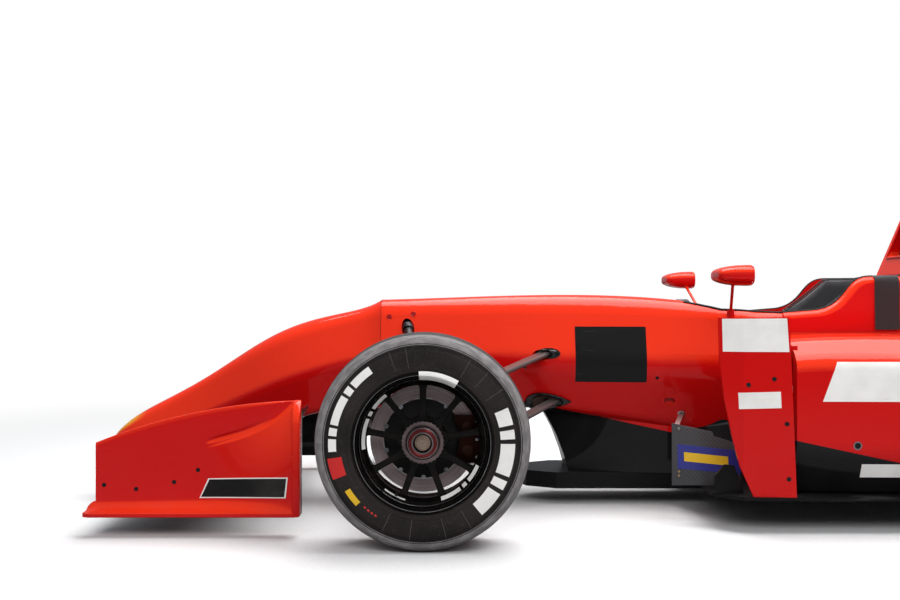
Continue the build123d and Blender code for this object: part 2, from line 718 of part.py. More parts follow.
def exhaust():
    """The exhaust pipe from the engine's top to its open end under the engine cover's tail."""
    start = PIPE_ROUTE[0]
    path = FilletPolyline(*[(x, 0, z) for x, z in PIPE_ROUTE], radius=PIPE_BENDS)
    pipe = sweep(Pos(start[0], 0, start[1]) * Circle(PIPE_RADIUS), path=path)
    end, before = [Vector(x, 0, z) for x, z in (PIPE_ROUTE[-1], PIPE_ROUTE[-2])]
    along = (end - before).normalized()
    bore = extrude(Plane(origin=end, z_dir=-along) * Circle(PIPE_RADIUS - PIPE_WALL), 180)
    return pipe - bore


def engine():
    """The inline engine as one plain block between the tub and the gearbox, with its exhaust pipe."""
    block = box_between((TUB_END, -ENGINE_HALF, FLOOR_TOP + 6), (ENGINE_END, ENGINE_HALF, ENGINE_TOP))
    return block + exhaust()


def gearbox():
    """Gearbox casing with its output flanges and suspension pockets."""
    # x, width, height, corner round, middle z
    rows = (
        (ENGINE_END, 272, 370, 40, 295), (ENGINE_END + 250, 220, 330, 40, 275), (CRASH_X[0], 150, 200, 30, 290),
    )
    case = loft([
        Plane.YZ.offset(x) * Pos(0, z) * RectangleRounded(width, height, corner)
        for x, width, height, corner, z in rows
    ], ruled=True)
    case += across(WHEELBASE, TYRE_RADIUS[REAR], FLANGE_RADIUS, 2 * FLANGE_Y)
    return case - pockets([row[1:] for row in ARMS[REAR]])


def crash_taper(margin=0.0):
    """The tapered body of the crash box, or the same with a margin all round."""
    return loft([
        Plane.YZ.offset(x) * Pos(0, CRASH_Z) * RectangleRounded(width + 2 * margin, height + 2 * margin, 20)
        for x, width, height in ((CRASH_X[0], 134, 150), (CRASH_X[1], 96, 104))
    ])


def crash_box():
    """Tapered rear crash box with the jacking bar and the tow eye."""
    x, z = TOW_AT
    bar = across(JACK_X, JACK_Z, JACK_RADIUS, 2 * JACK_HALF)
    block = box_between((JACK_X - 20, -30, JACK_Z - 14), (JACK_X + 20, 30, CRASH_Z - 20))
    eye = across(x, z, TOW_RADIUS + TOW_RING, TOW_THICK)
    web = box_between((x - 50, -TOW_THICK / 2, CRASH_Z), (CRASH_X[1], TOW_THICK / 2, z + 10))
    return crash_taper() + bar + block + eye + web - across(x, z, TOW_RADIUS, 3 * TOW_THICK)


def rain_light():
    """Rear light block on the end of the crash box."""
    return box_between((CRASH_X[1], -40, CRASH_Z - 56), (CRASH_X[1] + LIGHT_DEPTH, 40, CRASH_Z + 18))


def rear_wing():
    """The upper rear wing's two elements, between the endplates."""
    half = REAR_PLATE_IN - RUN_GAP
    return Compound([s for row in REAR_PLANES for s in wing(row, -half, half).solids()])


def beam_wing():
    """The lower rear wing, carried on two posts that stand on the crash box."""
    half = REAR_PLATE_IN - RUN_GAP
    plane = wing(BEAM_WING, -half, half)
    for side in SIDES:
        y = side * POST_Y
        plane += box_between((REAR_END - 286, y - POST_HALF, CRASH_Z + 50), (REAR_END - 196, y + POST_HALF, 390))
    return plane - crash_taper(RUN_GAP)


def rear_endplates():
    """Rear wing endplates, cut away at the low rear corner beside the tow eye."""
    end = REAR_END
    plate = side_plate(
        ((end - 460, 330), (end - 486, 560), (end - 480, 830), (end - 436, 886), (end, 900), (end, 480),
         (end - 84, 440), (end - 84, 330), (end - 124, 290), (end - 376, 290)),
        REAR_PLATE_IN, REAR_PLATE_IN + REAR_PLATE_THICK,
    )
    return both_sides(fillet(plate.edges().filter_by(Axis.Y), 14))


def ball_end(point, pin_radius, radius=BALL_RADIUS):
    """The ball of a joint on an upright pin, and the cutter of its bore."""
    return Pos(*point) * Sphere(radius), Pos(*point) * Cylinder(pin_radius + RUN_GAP, 4 * radius)


def wishbones(axle):
    """Upper and lower wishbones of one axle, each with its outer ball joint."""
    found = []
    for level in ("upper", "lower"):
        legs = [row[1:] for row in ARMS[axle] if row[0] == level]
        bone, bore = ball_end(legs[0][0], KINGPIN_RADIUS)
        for leg in legs:
            bone += link(*leg)
        if level == "lower":
            x, y, z = rod_foot(axle)
            bone += box_between((x - 13, y - 10, z - 26), (x + 13, y + 10, z))
        found += both_sides(bone - bore).solids()
    return Compound(found)


def rods(axle):
    """Push rods from the lower wishbones to the rockers inside the casing, and the rear toe links."""
    found = []
    for name, start, pickup, chord, thick in ARMS[axle]:
        if name not in ("rod", "toe"):
            continue
        x, y, z = start
        outward = (Vector(*start) - Vector(*pickup)).normalized() * 20
        rod = link(tuple(Vector(*start) + outward), pickup, chord, thick)
        if name == "rod":
            rod -= box_between((x - 60, y - 60, z - 60), (x + 60, y + 60, z + RUN_GAP))
        else:
            rod -= box_between((x - 60, y - RUN_GAP, z - 60), (x + 60, y + 60, z + 60))
        found += both_sides(rod).solids()
    return Compound(found)


def lip_plane(axle):
    """Y of the outboard rim lip on the right side."""
    return TRACK[axle] / 2 + RIM_WIDTH[axle] / 2


def on_axle(axle, shape):
    """A shape drawn round the Y axis, moved onto one axle's wheel centre line."""
    return Pos(AXLE_X[axle], 0, TYRE_RADIUS[axle]) * shape


def revolved(points):
    """A ring turned about the wheel axis from an outline in radius and Y."""
    return revolve(make_face(Polyline(*points, close=True)), Axis.Y)


def rim_barrel(lip, back):
    """The rim's barrel between its two lips, with the tyre seats and the drop well."""
    seat, wall, flange = BEAD_RADIUS, RIM_WALL, RIM_LIP_RADIUS
    return revolved((
        (flange, lip), (flange, lip - 6), (seat, lip - 10), (seat, lip - 36),
        (WELL_RADIUS, lip - 48), (WELL_RADIUS, lip - 78), (seat - 2, lip - 92), (seat, back + 10),
        (flange, back + 6), (flange, back), (flange - wall, back),
        (seat - wall, back + 14), (seat - wall, lip - 90), (WELL_RADIUS - wall, lip - 76),
        (WELL_RADIUS - wall, lip - 50), (seat - wall, lip - 24), (flange - 5, lip - 4), (flange - 5, lip),
    ))


def rim(axle):
    """Nine spoke centre lock rim of the right side, with its hub and nut."""
    lip = lip_plane(axle)
    face, hex_radius, bore = lip - HUB_FACE, NUT_HEX / 2, SPINDLE_RADIUS + RUN_GAP
    hub = revolved((
        (bore, lip - HUB_BACK), (HUB_RADIUS, lip - HUB_BACK), (HUB_RADIUS, face),
        (NUT_RADIUS, face), (NUT_RADIUS, face + 10), (hex_radius, face + 14), (hex_radius, face + NUT_LENGTH),
        (NUT_BORE, face + NUT_LENGTH), (NUT_BORE, face + 8), (0, face + 8), (0, face), (bore, face),
    ))
    spoke = loft([
        Pos(0, face - 18, HUB_RADIUS - 9) * RectangleRounded(SPOKE_WIDTH_HUB, SPOKE_DEPTH + 10, 5),
        Pos(0, face - 22, WELL_RADIUS - 3) * RectangleRounded(SPOKE_WIDTH_RIM, SPOKE_DEPTH, 4),
    ])
    body = rim_barrel(lip, lip - RIM_WIDTH[axle]) + hub
    for i in range(SPOKE_COUNT):
        body += Rot(0, i * 360 / SPOKE_COUNT, 0) * spoke
    return on_axle(axle, body)


def tyre(axle):
    """Slick tyre of the right side, as a closed ring with its air space."""
    radius, tread, section = TYRE_RADIUS[axle], TREAD_WIDTH[axle] / 2, TYRE_SECTION[axle] / 2
    bead, edge = BEAD_RADIUS + RUN_GAP, RIM_WIDTH[axle] / 2 - 10 - RUN_GAP
    flange, low = (RIM_LIP_RADIUS + 1, edge + 3.4), (RIM_LIP_RADIUS + 5, edge + 8)
    shoulder = (radius - 30, section - 6)
    outside = [
        Line((bead, edge), flange),
        Line(flange, low),
        ThreePointArc(low, (0.5 * (low[0] + shoulder[0]), section), shoulder),
        ThreePointArc(shoulder, (radius - 11, tread + 0.55 * (section - tread)), (radius - 4, tread)),
    ]
    inside = ((bead, edge - 24), (bead + 18, edge - 20), (radius - 56, section - 16), (radius - 18, tread - 6))
    flip = [mirror(curve, about=Plane.XZ) for curve in outside]
    tread_arc = ThreePointArc((radius - 4, tread), (radius, 0), (radius - 4, -tread))
    inner = [(x, -y) for x, y in inside]
    cavity = Polyline((bead, edge), *inside, *reversed(inner), (bead, -edge))
    ring = revolve(make_face([*outside, *flip, tread_arc, cavity]), Axis.Y)
    return Pos(0, TRACK[axle] / 2, 0) * on_axle(axle, ring)


def brake_disc(axle):
    """Disc, bell and spindle of the right side. At the rear the drive shaft is part of it."""
    lip = lip_plane(axle)
    face, tail = lip - DISC_FACE, lip - HOUSING_IN
    inner, play = DISC_RADIUS - DISC_BAND, 2 * RUN_GAP
    body = revolved((
        (0, lip - HUB_FACE - play), (SPINDLE_RADIUS, lip - HUB_FACE - play),
        (SPINDLE_RADIUS, lip - HUB_BACK - RUN_GAP), (HUB_RADIUS, lip - HUB_BACK - RUN_GAP),
        (HUB_RADIUS + 4, face + 14), (inner, face), (DISC_RADIUS, face), (DISC_RADIUS, face - DISC_THICKNESS),
        (inner, face - DISC_THICKNESS), (inner - 2, face - 10), (HUB_RADIUS, face - 2),
        (SPINDLE_RADIUS, face - 2), (SPINDLE_RADIUS, tail), (0, tail),
    ))
    if axle == REAR:
        outer_joint, inner_joint = SHAFT_RADIUS + 23, SHAFT_RADIUS + 27
        body += revolved((
            (0, tail), (outer_joint, tail), (outer_joint, tail - 46), (SHAFT_RADIUS, tail - 66),
            (SHAFT_RADIUS, FLANGE_Y + 76), (inner_joint, FLANGE_Y + 56), (inner_joint, FLANGE_Y + RUN_GAP),
            (0, FLANGE_Y + RUN_GAP),
        ))
    return on_axle(axle, body)


def caliper(axle):
    """Brake caliper straddling the rear edge of the disc."""
    mid = lip_plane(axle) - DISC_FACE - DISC_THICKNESS / 2
    reach = DISC_RADIUS + CALIPER_GAP + CALIPER_WALL
    room = DISC_RADIUS + CALIPER_GAP
    ring = across(0, 0, reach, CALIPER_WIDTH) - across(0, 0, DISC_RADIUS - 45, CALIPER_WIDTH)
    block = Pos(0, mid, 0) * ring
    block &= box_between((DISC_RADIUS - 59, mid - 40, -CALIPER_HALF), (reach + 20, mid + 40, CALIPER_HALF))
    return block - Pos(0, mid, 0) * across(0, 0, room, DISC_THICKNESS + 2 * CALIPER_GAP)


def upright(axle):
    """Wheel carrier of the right side: bearing housing, ball joint ears, caliper and steering arm."""
    lip = lip_plane(axle)
    x, y = kingpin(axle)
    z = TYRE_RADIUS[axle]
    y_in, y_out = lip - HOUSING_IN + 4, lip - HOUSING_OUT
    outer = SPINDLE_RADIUS + BEARING_WALL
    middle = (y_in + y_out) / 2
    body = Pos(0, middle, 0) * across(x, z, outer, y_out - y_in)
    body += Pos(x, middle + 8, z) * Box(44, 22, 2 * outer + 20)
    for ball_z, sign in ((UPPER_BALL_Z[axle], -1), (LOWER_BALL_Z[axle], 1)):
        ear = ball_z + sign * (BALL_RADIUS + RUN_GAP)
        ends = sorted((ear, z - sign * (outer - 8)))
        body += box_between((x - 17, y - 14, ends[0]), (x + 17, y_in + 30, ends[1]))
        pin_end = sorted((ear + sign * 2, ball_z - sign * (BALL_RADIUS + 5)))
        body += Pos(x, y, sum(pin_end) / 2) * Cylinder(KINGPIN_RADIUS, pin_end[1] - pin_end[0])
    disc_back = lip - DISC_FACE - DISC_THICKNESS
    carrier = caliper(axle)
    carrier += box_between((30, y_out - 26, -40), (118, y_out - 10, 40))
    carrier += box_between((96, y_out - 26, -40), (118, disc_back - 8, 40))
    body += Pos(x, 0, z) * carrier
    if axle == FRONT:
        arm_z = STEER_Z - BALL_RADIUS + 2 - RUN_GAP
        body += box_between((x - STEER_ARM - 14, y - 14, arm_z - 12), (x - 30, y + 12, arm_z))
        body += box_between((x - 50, y - 14, arm_z - 12), (x - 30, y_in + 30, arm_z))
        body += Pos(x - STEER_ARM, y, arm_z + 14) * Cylinder(6, 34)
    else:
        tx, ty, tz = TOE_LINK_END
        body += box_between((x + 44, ty, tz - 12), (tx + 14, y_in + 20, tz + 12))
    return body - Pos(0, y_out, 0) * across(x, z, SPINDLE_RADIUS + RUN_GAP, 400)


def tie_rod():
    """Right hand track rod: its outer eye on the steering arm, its inner ball in the rack's cup."""
    outer = (-STEER_ARM, kingpin(FRONT)[1], STEER_Z)
    inner = (RACK_X + TIE_OFFSET, RACK_END_Y - 16, RACK_Z)
    ball, bore = ball_end(outer, 6, BALL_RADIUS - 2)
    return ball + round_rod(outer, inner, TIE_RADIUS) + Pos(*inner) * Sphere(TIE_BALL_RADIUS) - bore


def rack():
    """Steering rack bar through the tub, with an open cup at each end."""
    start = RACK_END_Y - RACK_CUP
    bar = across(RACK_X, RACK_Z, RACK_RADIUS, 2 * (start + 4))
    floor_y = RACK_END_Y - 34
    cup = revolved((
        (0, start), (CUP_RADIUS, start), (CUP_RADIUS, RACK_END_Y), (CUP_BORE, RACK_END_Y), (CUP_BORE, floor_y),
        (0, floor_y),
    ))
    return bar + both_sides(Pos(RACK_X, 0, RACK_Z) * cup)


def steering_wheel():
    """Flat topped steering wheel with its hub plate, quick release and column."""
    plane = Plane(origin=WHEEL_AT, x_dir=(0, 1, 0), z_dir=column_axis())
    rim_face = RectangleRounded(272, 172, 62) - RectangleRounded(208, 112, 34)
    ring = extrude(rim_face, 13, both=True)
    ring = fillet(ring.edges().filter_by(GeomType.LINE) + ring.edges().filter_by(GeomType.CIRCLE), 8)
    plate = extrude(RectangleRounded(214, 84, 20), 6, both=True)
    hub = Pos(0, 0, -22) * Cylinder(26, 44)
    return plane * (ring + plate + hub) + column_cylinder(COLUMN_RADIUS, -170, -20)


keep("nose_cone", nose_cone())
keep("monocoque", tub())
keep("mirrors", mirrors())
keep("floor", floor())
keep("sidepod_right", sidepod())
keep("sidepod_left", mirror(parts["sidepod_right"], about=Plane.XZ))
keep("side_boards", side_boards())
keep("turning_vanes", turning_vanes())
keep("front_wing", front_wing())
keep("front_endplates", front_endplates())
keep("front_wing_pylons", pylons())
keep("engine_cover", engine_cover())
keep("roll_hoop", roll_hoop())
keep("headrest", headrest())
keep("seat", seat())
keep("harness", harness())
keep("engine", engine())
keep("gearbox", gearbox())
keep("rear_crash_box", crash_box())
keep("rain_light", rain_light())
keep("rear_wing", rear_wing())
keep("rear_beam_wing", beam_wing())
keep("rear_endplates", rear_endplates())
keep("front_wishbones", wishbones(FRONT))
keep("front_push_rods", rods(FRONT))
keep("rear_wishbones", wishbones(REAR))
keep("rear_rods", rods(REAR))
keep("rear_uprights", both_sides(upright(REAR)))
for axle, end in ((FRONT, "front"), (REAR, "rear")):
    for piece, shape in (("rim", rim(axle)), ("tyre", tyre(axle)), ("brake_disc", brake_disc(axle))):
        keep(f"{piece}_{end}_right", shape)
        keep(f"{piece}_{end}_left", mirror(shape, about=Plane.XZ))
keep("knuckle_right", upright(FRONT))
keep("knuckle_left", mirror(parts["knuckle_right"], about=Plane.XZ))
keep("tie_rod_right", tie_rod())
keep("tie_rod_left", mirror(parts["tie_rod_right"], about=Plane.XZ))
keep("steering_rack", rack())
keep("steering_wheel", steering_wheel())

# The origin goes to the ground in the middle of the car's length
MIDDLE_X = (NOSE_TIP + REAR_END) / 2

os.makedirs("parts", exist_ok=True)
for name, shape in parts.items():
    export_step(Pos(-MIDDLE_X, 0, 0) * shape, f"parts/{name}.step")
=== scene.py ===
import json
import logging
import math
from collections.abc import Callable, Iterable
from dataclasses import dataclass
from enum import Enum
from functools import cache

import bpy
from mathutils import Matrix, Vector

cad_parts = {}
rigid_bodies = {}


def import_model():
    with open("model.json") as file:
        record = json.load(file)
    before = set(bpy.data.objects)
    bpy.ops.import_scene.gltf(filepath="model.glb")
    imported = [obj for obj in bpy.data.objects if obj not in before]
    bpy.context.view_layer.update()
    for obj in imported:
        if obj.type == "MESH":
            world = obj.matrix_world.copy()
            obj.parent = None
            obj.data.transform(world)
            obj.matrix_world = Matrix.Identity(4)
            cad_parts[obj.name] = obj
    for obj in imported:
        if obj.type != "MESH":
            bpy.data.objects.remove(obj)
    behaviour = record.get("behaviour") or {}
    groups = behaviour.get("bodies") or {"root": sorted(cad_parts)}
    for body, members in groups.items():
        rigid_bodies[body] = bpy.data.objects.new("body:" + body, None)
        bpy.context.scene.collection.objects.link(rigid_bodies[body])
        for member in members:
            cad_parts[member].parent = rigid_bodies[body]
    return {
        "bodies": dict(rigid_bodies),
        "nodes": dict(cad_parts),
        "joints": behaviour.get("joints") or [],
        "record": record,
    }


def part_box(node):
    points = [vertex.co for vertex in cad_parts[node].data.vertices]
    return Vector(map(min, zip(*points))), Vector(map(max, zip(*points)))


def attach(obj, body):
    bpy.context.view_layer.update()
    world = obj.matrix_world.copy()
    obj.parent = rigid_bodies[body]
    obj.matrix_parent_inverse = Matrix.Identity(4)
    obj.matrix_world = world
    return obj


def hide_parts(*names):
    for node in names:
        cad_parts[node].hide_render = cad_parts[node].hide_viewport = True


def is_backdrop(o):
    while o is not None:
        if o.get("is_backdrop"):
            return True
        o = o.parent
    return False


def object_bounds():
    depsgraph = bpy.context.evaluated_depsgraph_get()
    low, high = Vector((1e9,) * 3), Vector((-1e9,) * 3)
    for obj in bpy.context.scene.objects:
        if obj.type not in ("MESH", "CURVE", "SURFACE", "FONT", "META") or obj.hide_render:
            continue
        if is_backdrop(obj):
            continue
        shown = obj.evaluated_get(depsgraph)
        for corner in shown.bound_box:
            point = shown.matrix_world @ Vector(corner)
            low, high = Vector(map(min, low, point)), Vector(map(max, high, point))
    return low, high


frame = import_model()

# Looks of the open wheel racing car. Metres, X towards the tail, Y to the car's right, Z up.
# Places are given from the front axle and the ground, and at() moves them into the frame.

LOG = logging.getLogger("racing_car")
CAD_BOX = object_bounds()
NODES = frame["nodes"]
Colour = tuple[float, float, float]
Pair = tuple[float, float]
Point = tuple[float, float, float]
Piece = bpy.types.Object
Socket = bpy.types.NodeSocket
Tree = bpy.types.NodeTree
DOWN = Vector((0, 0, -1))
OUTSIDE = 3.0  # distance from the middle plane where a line to a flank starts
BODY_JOINT_X = 1.905  # joint line round sidepods and engine cover
JOINT_LINE = (0.0022, 0.0003)  # its width and rise


def middle_of(node: str) -> Vector:
    """Middle of a node's box."""
    low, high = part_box(node)
    return (low + high) / 2


FRONT_AXLE_X = middle_of("tyre_front_left").x
REAR_AXLE_X = middle_of("tyre_rear_left").x - FRONT_AXLE_X


def at(x: float, y: float, z: float) -> Vector:
    """A point given from the front axle, in the frame."""
    return Vector((x + FRONT_AXLE_X, y, z))


def follow(points: list[Point], share: float) -> Vector:
    """The point at a share of a smooth line through given points."""
    last = len(points) - 1
    along = min(max(share, 0.0), 1.0) * last
    i = min(int(along), last - 1)
    t = along - i
    a, b, c, d = (Vector(points[min(max(i + k, 0), last)]) for k in (-1, 0, 1, 2))
    return (b * 2 + (c - a) * t + (a * 2 - b * 5 + c * 4 - d) * t * t + (b * 3 - a - c * 3 + d) * t ** 3) / 2


def length_of(points: list[Point], steps: int = 60) -> float:
    """Length of the smooth line through given points."""
    places = [follow(points, i / steps) for i in range(steps + 1)]
    return sum((b - a).length for a, b in zip(places, places[1:]))


def lerp(start: float, end: float, share: float) -> float:
    """The number at a share of the way from start to end."""
    return start + (end - start) * share


def ease(share: float) -> float:
    """A smooth step from 0 to 1."""
    share = min(1.0, max(0.0, share))
    return share * share * (3 - 2 * share)


def circle(start: Pair, through: Pair, end: Pair) -> Point:
    """Centre and radius of the circle through three points."""
    (ax, ay), (bx, by), (cx, cy) = start, through, end
    d = 2 * (ax * (by - cy) + bx * (cy - ay) + cx * (ay - by))
    sa, sb, sc = ax * ax + ay * ay, bx * bx + by * by, cx * cx + cy * cy
    ox = (sa * (by - cy) + sb * (cy - ay) + sc * (ay - by)) / d
    oy = (sa * (cx - bx) + sb * (ax - cx) + sc * (bx - ax)) / d
    return ox, oy, math.hypot(ax - ox, ay - oy)


def arc(start: Pair, through: Pair, end: Pair, count: int) -> list[Pair]:
    """Points on the circle's arc through three points, both ends included."""
    ox, oy, radius = circle(start, through, end)
    first, middle, last = (math.atan2(y - oy, x - ox) for x, y in (start, through, end))
    sweep = (last - first) % math.tau
    if (middle - first) % math.tau > sweep:
        sweep -= math.tau
    turns = [first + sweep * i / (count - 1) for i in range(count)]
    return [(ox + radius * math.cos(turn), oy + radius * math.sin(turn)) for turn in turns]


class Side(Enum):
    """Sides of the car, as the sign of Y."""

    LEFT = -1
    RIGHT = 1

    @property
    def word(self) -> str:
        """The side's name in the names of nodes and bodies."""
        return self.name.lower()

    def at(self, x: float, out: float, z: float) -> Vector:
        """A point on this side, given from the front axle and from the middle plane, in the frame."""
        return at(x, self.value * out, z)

    def out(self, distance: float) -> Vector:
        """A step outwards."""
        return Vector((0, self.value * distance, 0))


class Axis(Enum):
    """Directions in which a part is turned or laid."""

    X = (1.0, 0.0, 0.0)
    Y = (0.0, 1.0, 0.0)
    Z = (0.0, 0.0, 1.0)


# Modelling tools


class Bench:
    """Hand tools. Every call starts with nothing selected and works on one piece."""

    @staticmethod
    def clear() -> None:
        """Leaves edit mode and deselects everything."""
        if bpy.context.mode != "OBJECT":
            bpy.ops.object.mode_set(mode="OBJECT")
        bpy.ops.object.select_all(action="DESELECT")

    @staticmethod
    def hold(piece: Piece) -> None:
        """Makes one piece the only one selected."""
        Bench.clear()
        piece.select_set(True)
        bpy.context.view_layer.objects.active = piece

    @staticmethod
    def edit(piece: Piece) -> None:
        """Opens one piece in edit mode with everything selected."""
        Bench.hold(piece)
        bpy.ops.object.mode_set(mode="EDIT")
        bpy.ops.mesh.select_all(action="SELECT")

    @staticmethod
    def named(name: str) -> Piece:
        """Names the piece that was just added."""
        piece = bpy.context.object
        piece.name = piece.data.name = name
        return piece

    @staticmethod
    def settle(piece: Piece) -> Piece:
        """Puts a piece's place, turn and scale into its mesh."""
        Bench.hold(piece)
        bpy.ops.object.transform_apply(location=True, rotation=True, scale=True)
        return piece

    @staticmethod
    def apply(piece: Piece, kind: str, **settings: object) -> Piece:
        """Adds a modifier with its settings and applies it."""
        Bench.hold(piece)
        modifier = piece.modifiers.new(kind.lower(), kind)
        for key, value in settings.items():
            setattr(modifier, key, value)
        bpy.ops.object.modifier_apply(modifier=modifier.name)
        return piece

    @staticmethod
    def bevelled(piece: Piece, width: float, segments: int = 2, angle: float = 30) -> Piece:
        """Rounds the edges that are sharper than an angle in degrees."""
        return Bench.apply(
            piece, "BEVEL", width=width, segments=segments, limit_method="ANGLE",
            angle_limit=math.radians(angle), use_clamp_overlap=True)

    @staticmethod
    def block(name: str, low: Point, high: Point, bevel: float = 0.0, segments: int = 2) -> Piece:
        """A box between two corners, with rounded edges."""
        Bench.clear()
        size = Vector(high) - Vector(low)
        bpy.ops.mesh.primitive_cube_add(size=1, location=(Vector(high) + Vector(low)) / 2, scale=size)
        piece = Bench.settle(Bench.named(name))
        return Bench.bevelled(piece, bevel, segments) if bevel else piece

    @staticmethod
    def rod(name: str, start: Point, end: Point, radius: float, sides: int = 24, bevel: float = 0.0) -> Piece:
        """A round or many sided bar between two points."""
        Bench.clear()
        run = Vector(end) - Vector(start)
        bpy.ops.mesh.primitive_cylinder_add(
            vertices=sides, radius=radius, depth=run.length, location=(Vector(start) + Vector(end)) / 2,
            rotation=run.to_track_quat("Z", "Y").to_euler())
        piece = Bench.settle(Bench.named(name))
        return Bench.bevelled(piece, bevel, 2, 50) if bevel else piece

    @staticmethod
    def line(name: str, points: list[Point]) -> Piece:
        """A chain of edges, drawn by extruding one vertex from point to point."""
        Bench.clear()
        bpy.ops.mesh.primitive_plane_add(size=0.001, location=points[0])
        piece = Bench.named(name)
        bpy.ops.object.mode_set(mode="EDIT")
        bpy.ops.mesh.merge(type="CENTER")
        for here, there in zip(points, points[1:]):
            step = Vector(there) - Vector(here)
            bpy.ops.mesh.extrude_region_move(TRANSFORM_OT_translate={"value": step})
        return Bench.settle(piece)

    @staticmethod
    def weld(piece: Piece, gap: float = 1e-5) -> Piece:
        """Merges doubles and turns all faces outwards."""
        Bench.edit(piece)
        bpy.ops.mesh.remove_doubles(threshold=gap)
        bpy.ops.mesh.normals_make_consistent(inside=False)
        Bench.clear()
        return piece

    @staticmethod
    def plate(name: str, outline: list[Point], depth: Point, bevel: float = 0.0) -> Piece:
        """A flat plate: its outline is drawn, filled and extruded.

        Args:
            name: the piece's name.
            outline: corners in one plane, in order.
            depth: the way and the thickness of the extrusion.
            bevel: round of its edges.

        Returns:
            The plate.
        """
        piece = Bench.line(name, outline)
        Bench.edit(piece)
        bpy.ops.mesh.edge_face_add()
        bpy.ops.mesh.extrude_region_move(TRANSFORM_OT_translate={"value": Vector(depth)})
        Bench.weld(piece)
        return Bench.bevelled(piece, bevel) if bevel else piece

    @staticmethod
    def turned(
        name: str, profile: list[Pair], centre: Vector, steps: int = 96, start: float = 0.0,
        sweep: float = 360.0,
    ) -> Piece:
        """A part turned on an axle's line, by spinning its profile.

        Args:
            name: the piece's name.
            profile: radius and Y of each point; the last equals the first where the profile is closed.
            centre: a point on the axle's line.
            steps: faces round the whole circle.
            start: degrees where the turn starts, from the tail, counter-clockwise as seen from the left.
            sweep: degrees that it covers.

        Returns:
            The turned piece.
        """
        turn = math.radians(start)
        points = [(centre.x + r * math.cos(turn), y, centre.z + r * math.sin(turn)) for r, y in profile]
        piece = Bench.line(name, points)
        Bench.edit(piece)
        count = max(3, round(steps * sweep / 360))
        bpy.ops.mesh.spin(steps=count, angle=math.radians(sweep), center=centre, axis=Axis.Y.value)
        return Bench.weld(piece)

    @staticmethod
    def surface(name: str, columns: int, rows: int, shape: Callable[[float, float], Point]) -> Piece:
        """A fine grid laid on a surface.

        Args:
            name: the piece's name.
            columns: faces along the first direction.
            rows: faces along the second direction.
            shape: the place for a share of each direction, from 0 to 1.

        Returns:
            The skin, without thickness.
        """
        Bench.clear()
        bpy.ops.mesh.primitive_grid_add(x_subdivisions=columns, y_subdivisions=rows, size=1)
        piece = Bench.named(name)
        for vertex in piece.data.vertices:
            vertex.co = shape(vertex.co.x + 0.5, vertex.co.y + 0.5)
        return piece

    @staticmethod
    def thick(piece: Piece, thickness: float) -> Piece:
        """Gives a skin its thickness, half to each side."""
        return Bench.apply(piece, "SOLIDIFY", thickness=thickness, offset=0.0)

    @staticmethod
    def closed(piece: Piece) -> Piece:
        """Closes the open edges of a skin with a face each."""
        Bench.edit(piece)
        bpy.ops.mesh.select_all(action="DESELECT")
        bpy.ops.mesh.select_non_manifold()
        bpy.ops.mesh.edge_face_add()
        return Bench.weld(piece, 1e-6)

    @staticmethod
    def capped(piece: Piece) -> Piece:
        """Closes the open ends of a part turned over less than a whole circle."""
        Bench.edit(piece)
        bpy.ops.mesh.fill_holes(sides=0)
        bpy.ops.mesh.select_all(action="SELECT")
        bpy.ops.mesh.normals_make_consistent(inside=False)
        Bench.clear()
        return piece

    @staticmethod
    def copy_of(source: Piece, name: str) -> Piece:
        """A copy with its own mesh, merged, and with no tie to the frame."""
        piece = bpy.data.objects.new(name, source.data.copy())
        piece.data.name = name
        bpy.context.scene.collection.objects.link(piece)
        piece.data.materials.clear()
        Bench.edit(piece)
        bpy.ops.mesh.remove_doubles(threshold=1e-5)
        Bench.clear()
        return piece

    @staticmethod
    def moved(source: Piece, name: str, matrix: Matrix) -> Piece:
        """A copy with its own mesh, placed by a matrix."""
        piece = bpy.data.objects.new(name, source.data.copy())
        bpy.context.scene.collection.objects.link(piece)
        piece.matrix_world = matrix
        return Bench.settle(piece)

    @staticmethod
    def discard(piece: Piece) -> None:
        """Removes a piece that served as a pattern."""
        bpy.data.objects.remove(piece)

    @staticmethod
    def joined(name: str, pieces: list[Piece]) -> Piece:
        """Several pieces as one."""
        Bench.clear()
        for piece in pieces:
            piece.select_set(True)
        bpy.context.view_layer.objects.active = pieces[0]
        if len(pieces) > 1:
            bpy.ops.object.join()
        return Bench.named(name)

    @staticmethod
    def keep_faces(piece: Piece, wanted: Callable[[Vector, Vector], bool]) -> Piece:
        """Deletes the faces that a test on middle and normal doesn't want."""
        Bench.clear()
        for face in piece.data.polygons:
            face.select = not wanted(face.center, face.normal)
        Bench.hold(piece)
        bpy.ops.object.mode_set(mode="EDIT")
        bpy.ops.mesh.select_mode(type="FACE")
        bpy.ops.object.mode_set(mode="OBJECT")
        for face in piece.data.polygons:
            face.select = not wanted(face.center, face.normal)
        bpy.ops.object.mode_set(mode="EDIT")
        bpy.ops.mesh.delete(type="FACE")
        bpy.ops.mesh.select_mode(type="VERT")
        Bench.clear()
        return piece

    @staticmethod
    def touch(node: str, origin: Vector, direction: Vector) -> tuple[Vector, Vector]:
        """Where a straight line first meets a node.

        Args:
            node: the node's name.
            origin: the line's start.
            direction: the line's way.

        Returns:
            The point and the surface's normal there.
        """
        hit, place, normal, _ = NODES[node].ray_cast(origin, direction)
        if not hit:
            raise ValueError(f"nothing of {node} at {tuple(origin)}")
        return place, normal if normal.dot(direction) < 0 else -normal

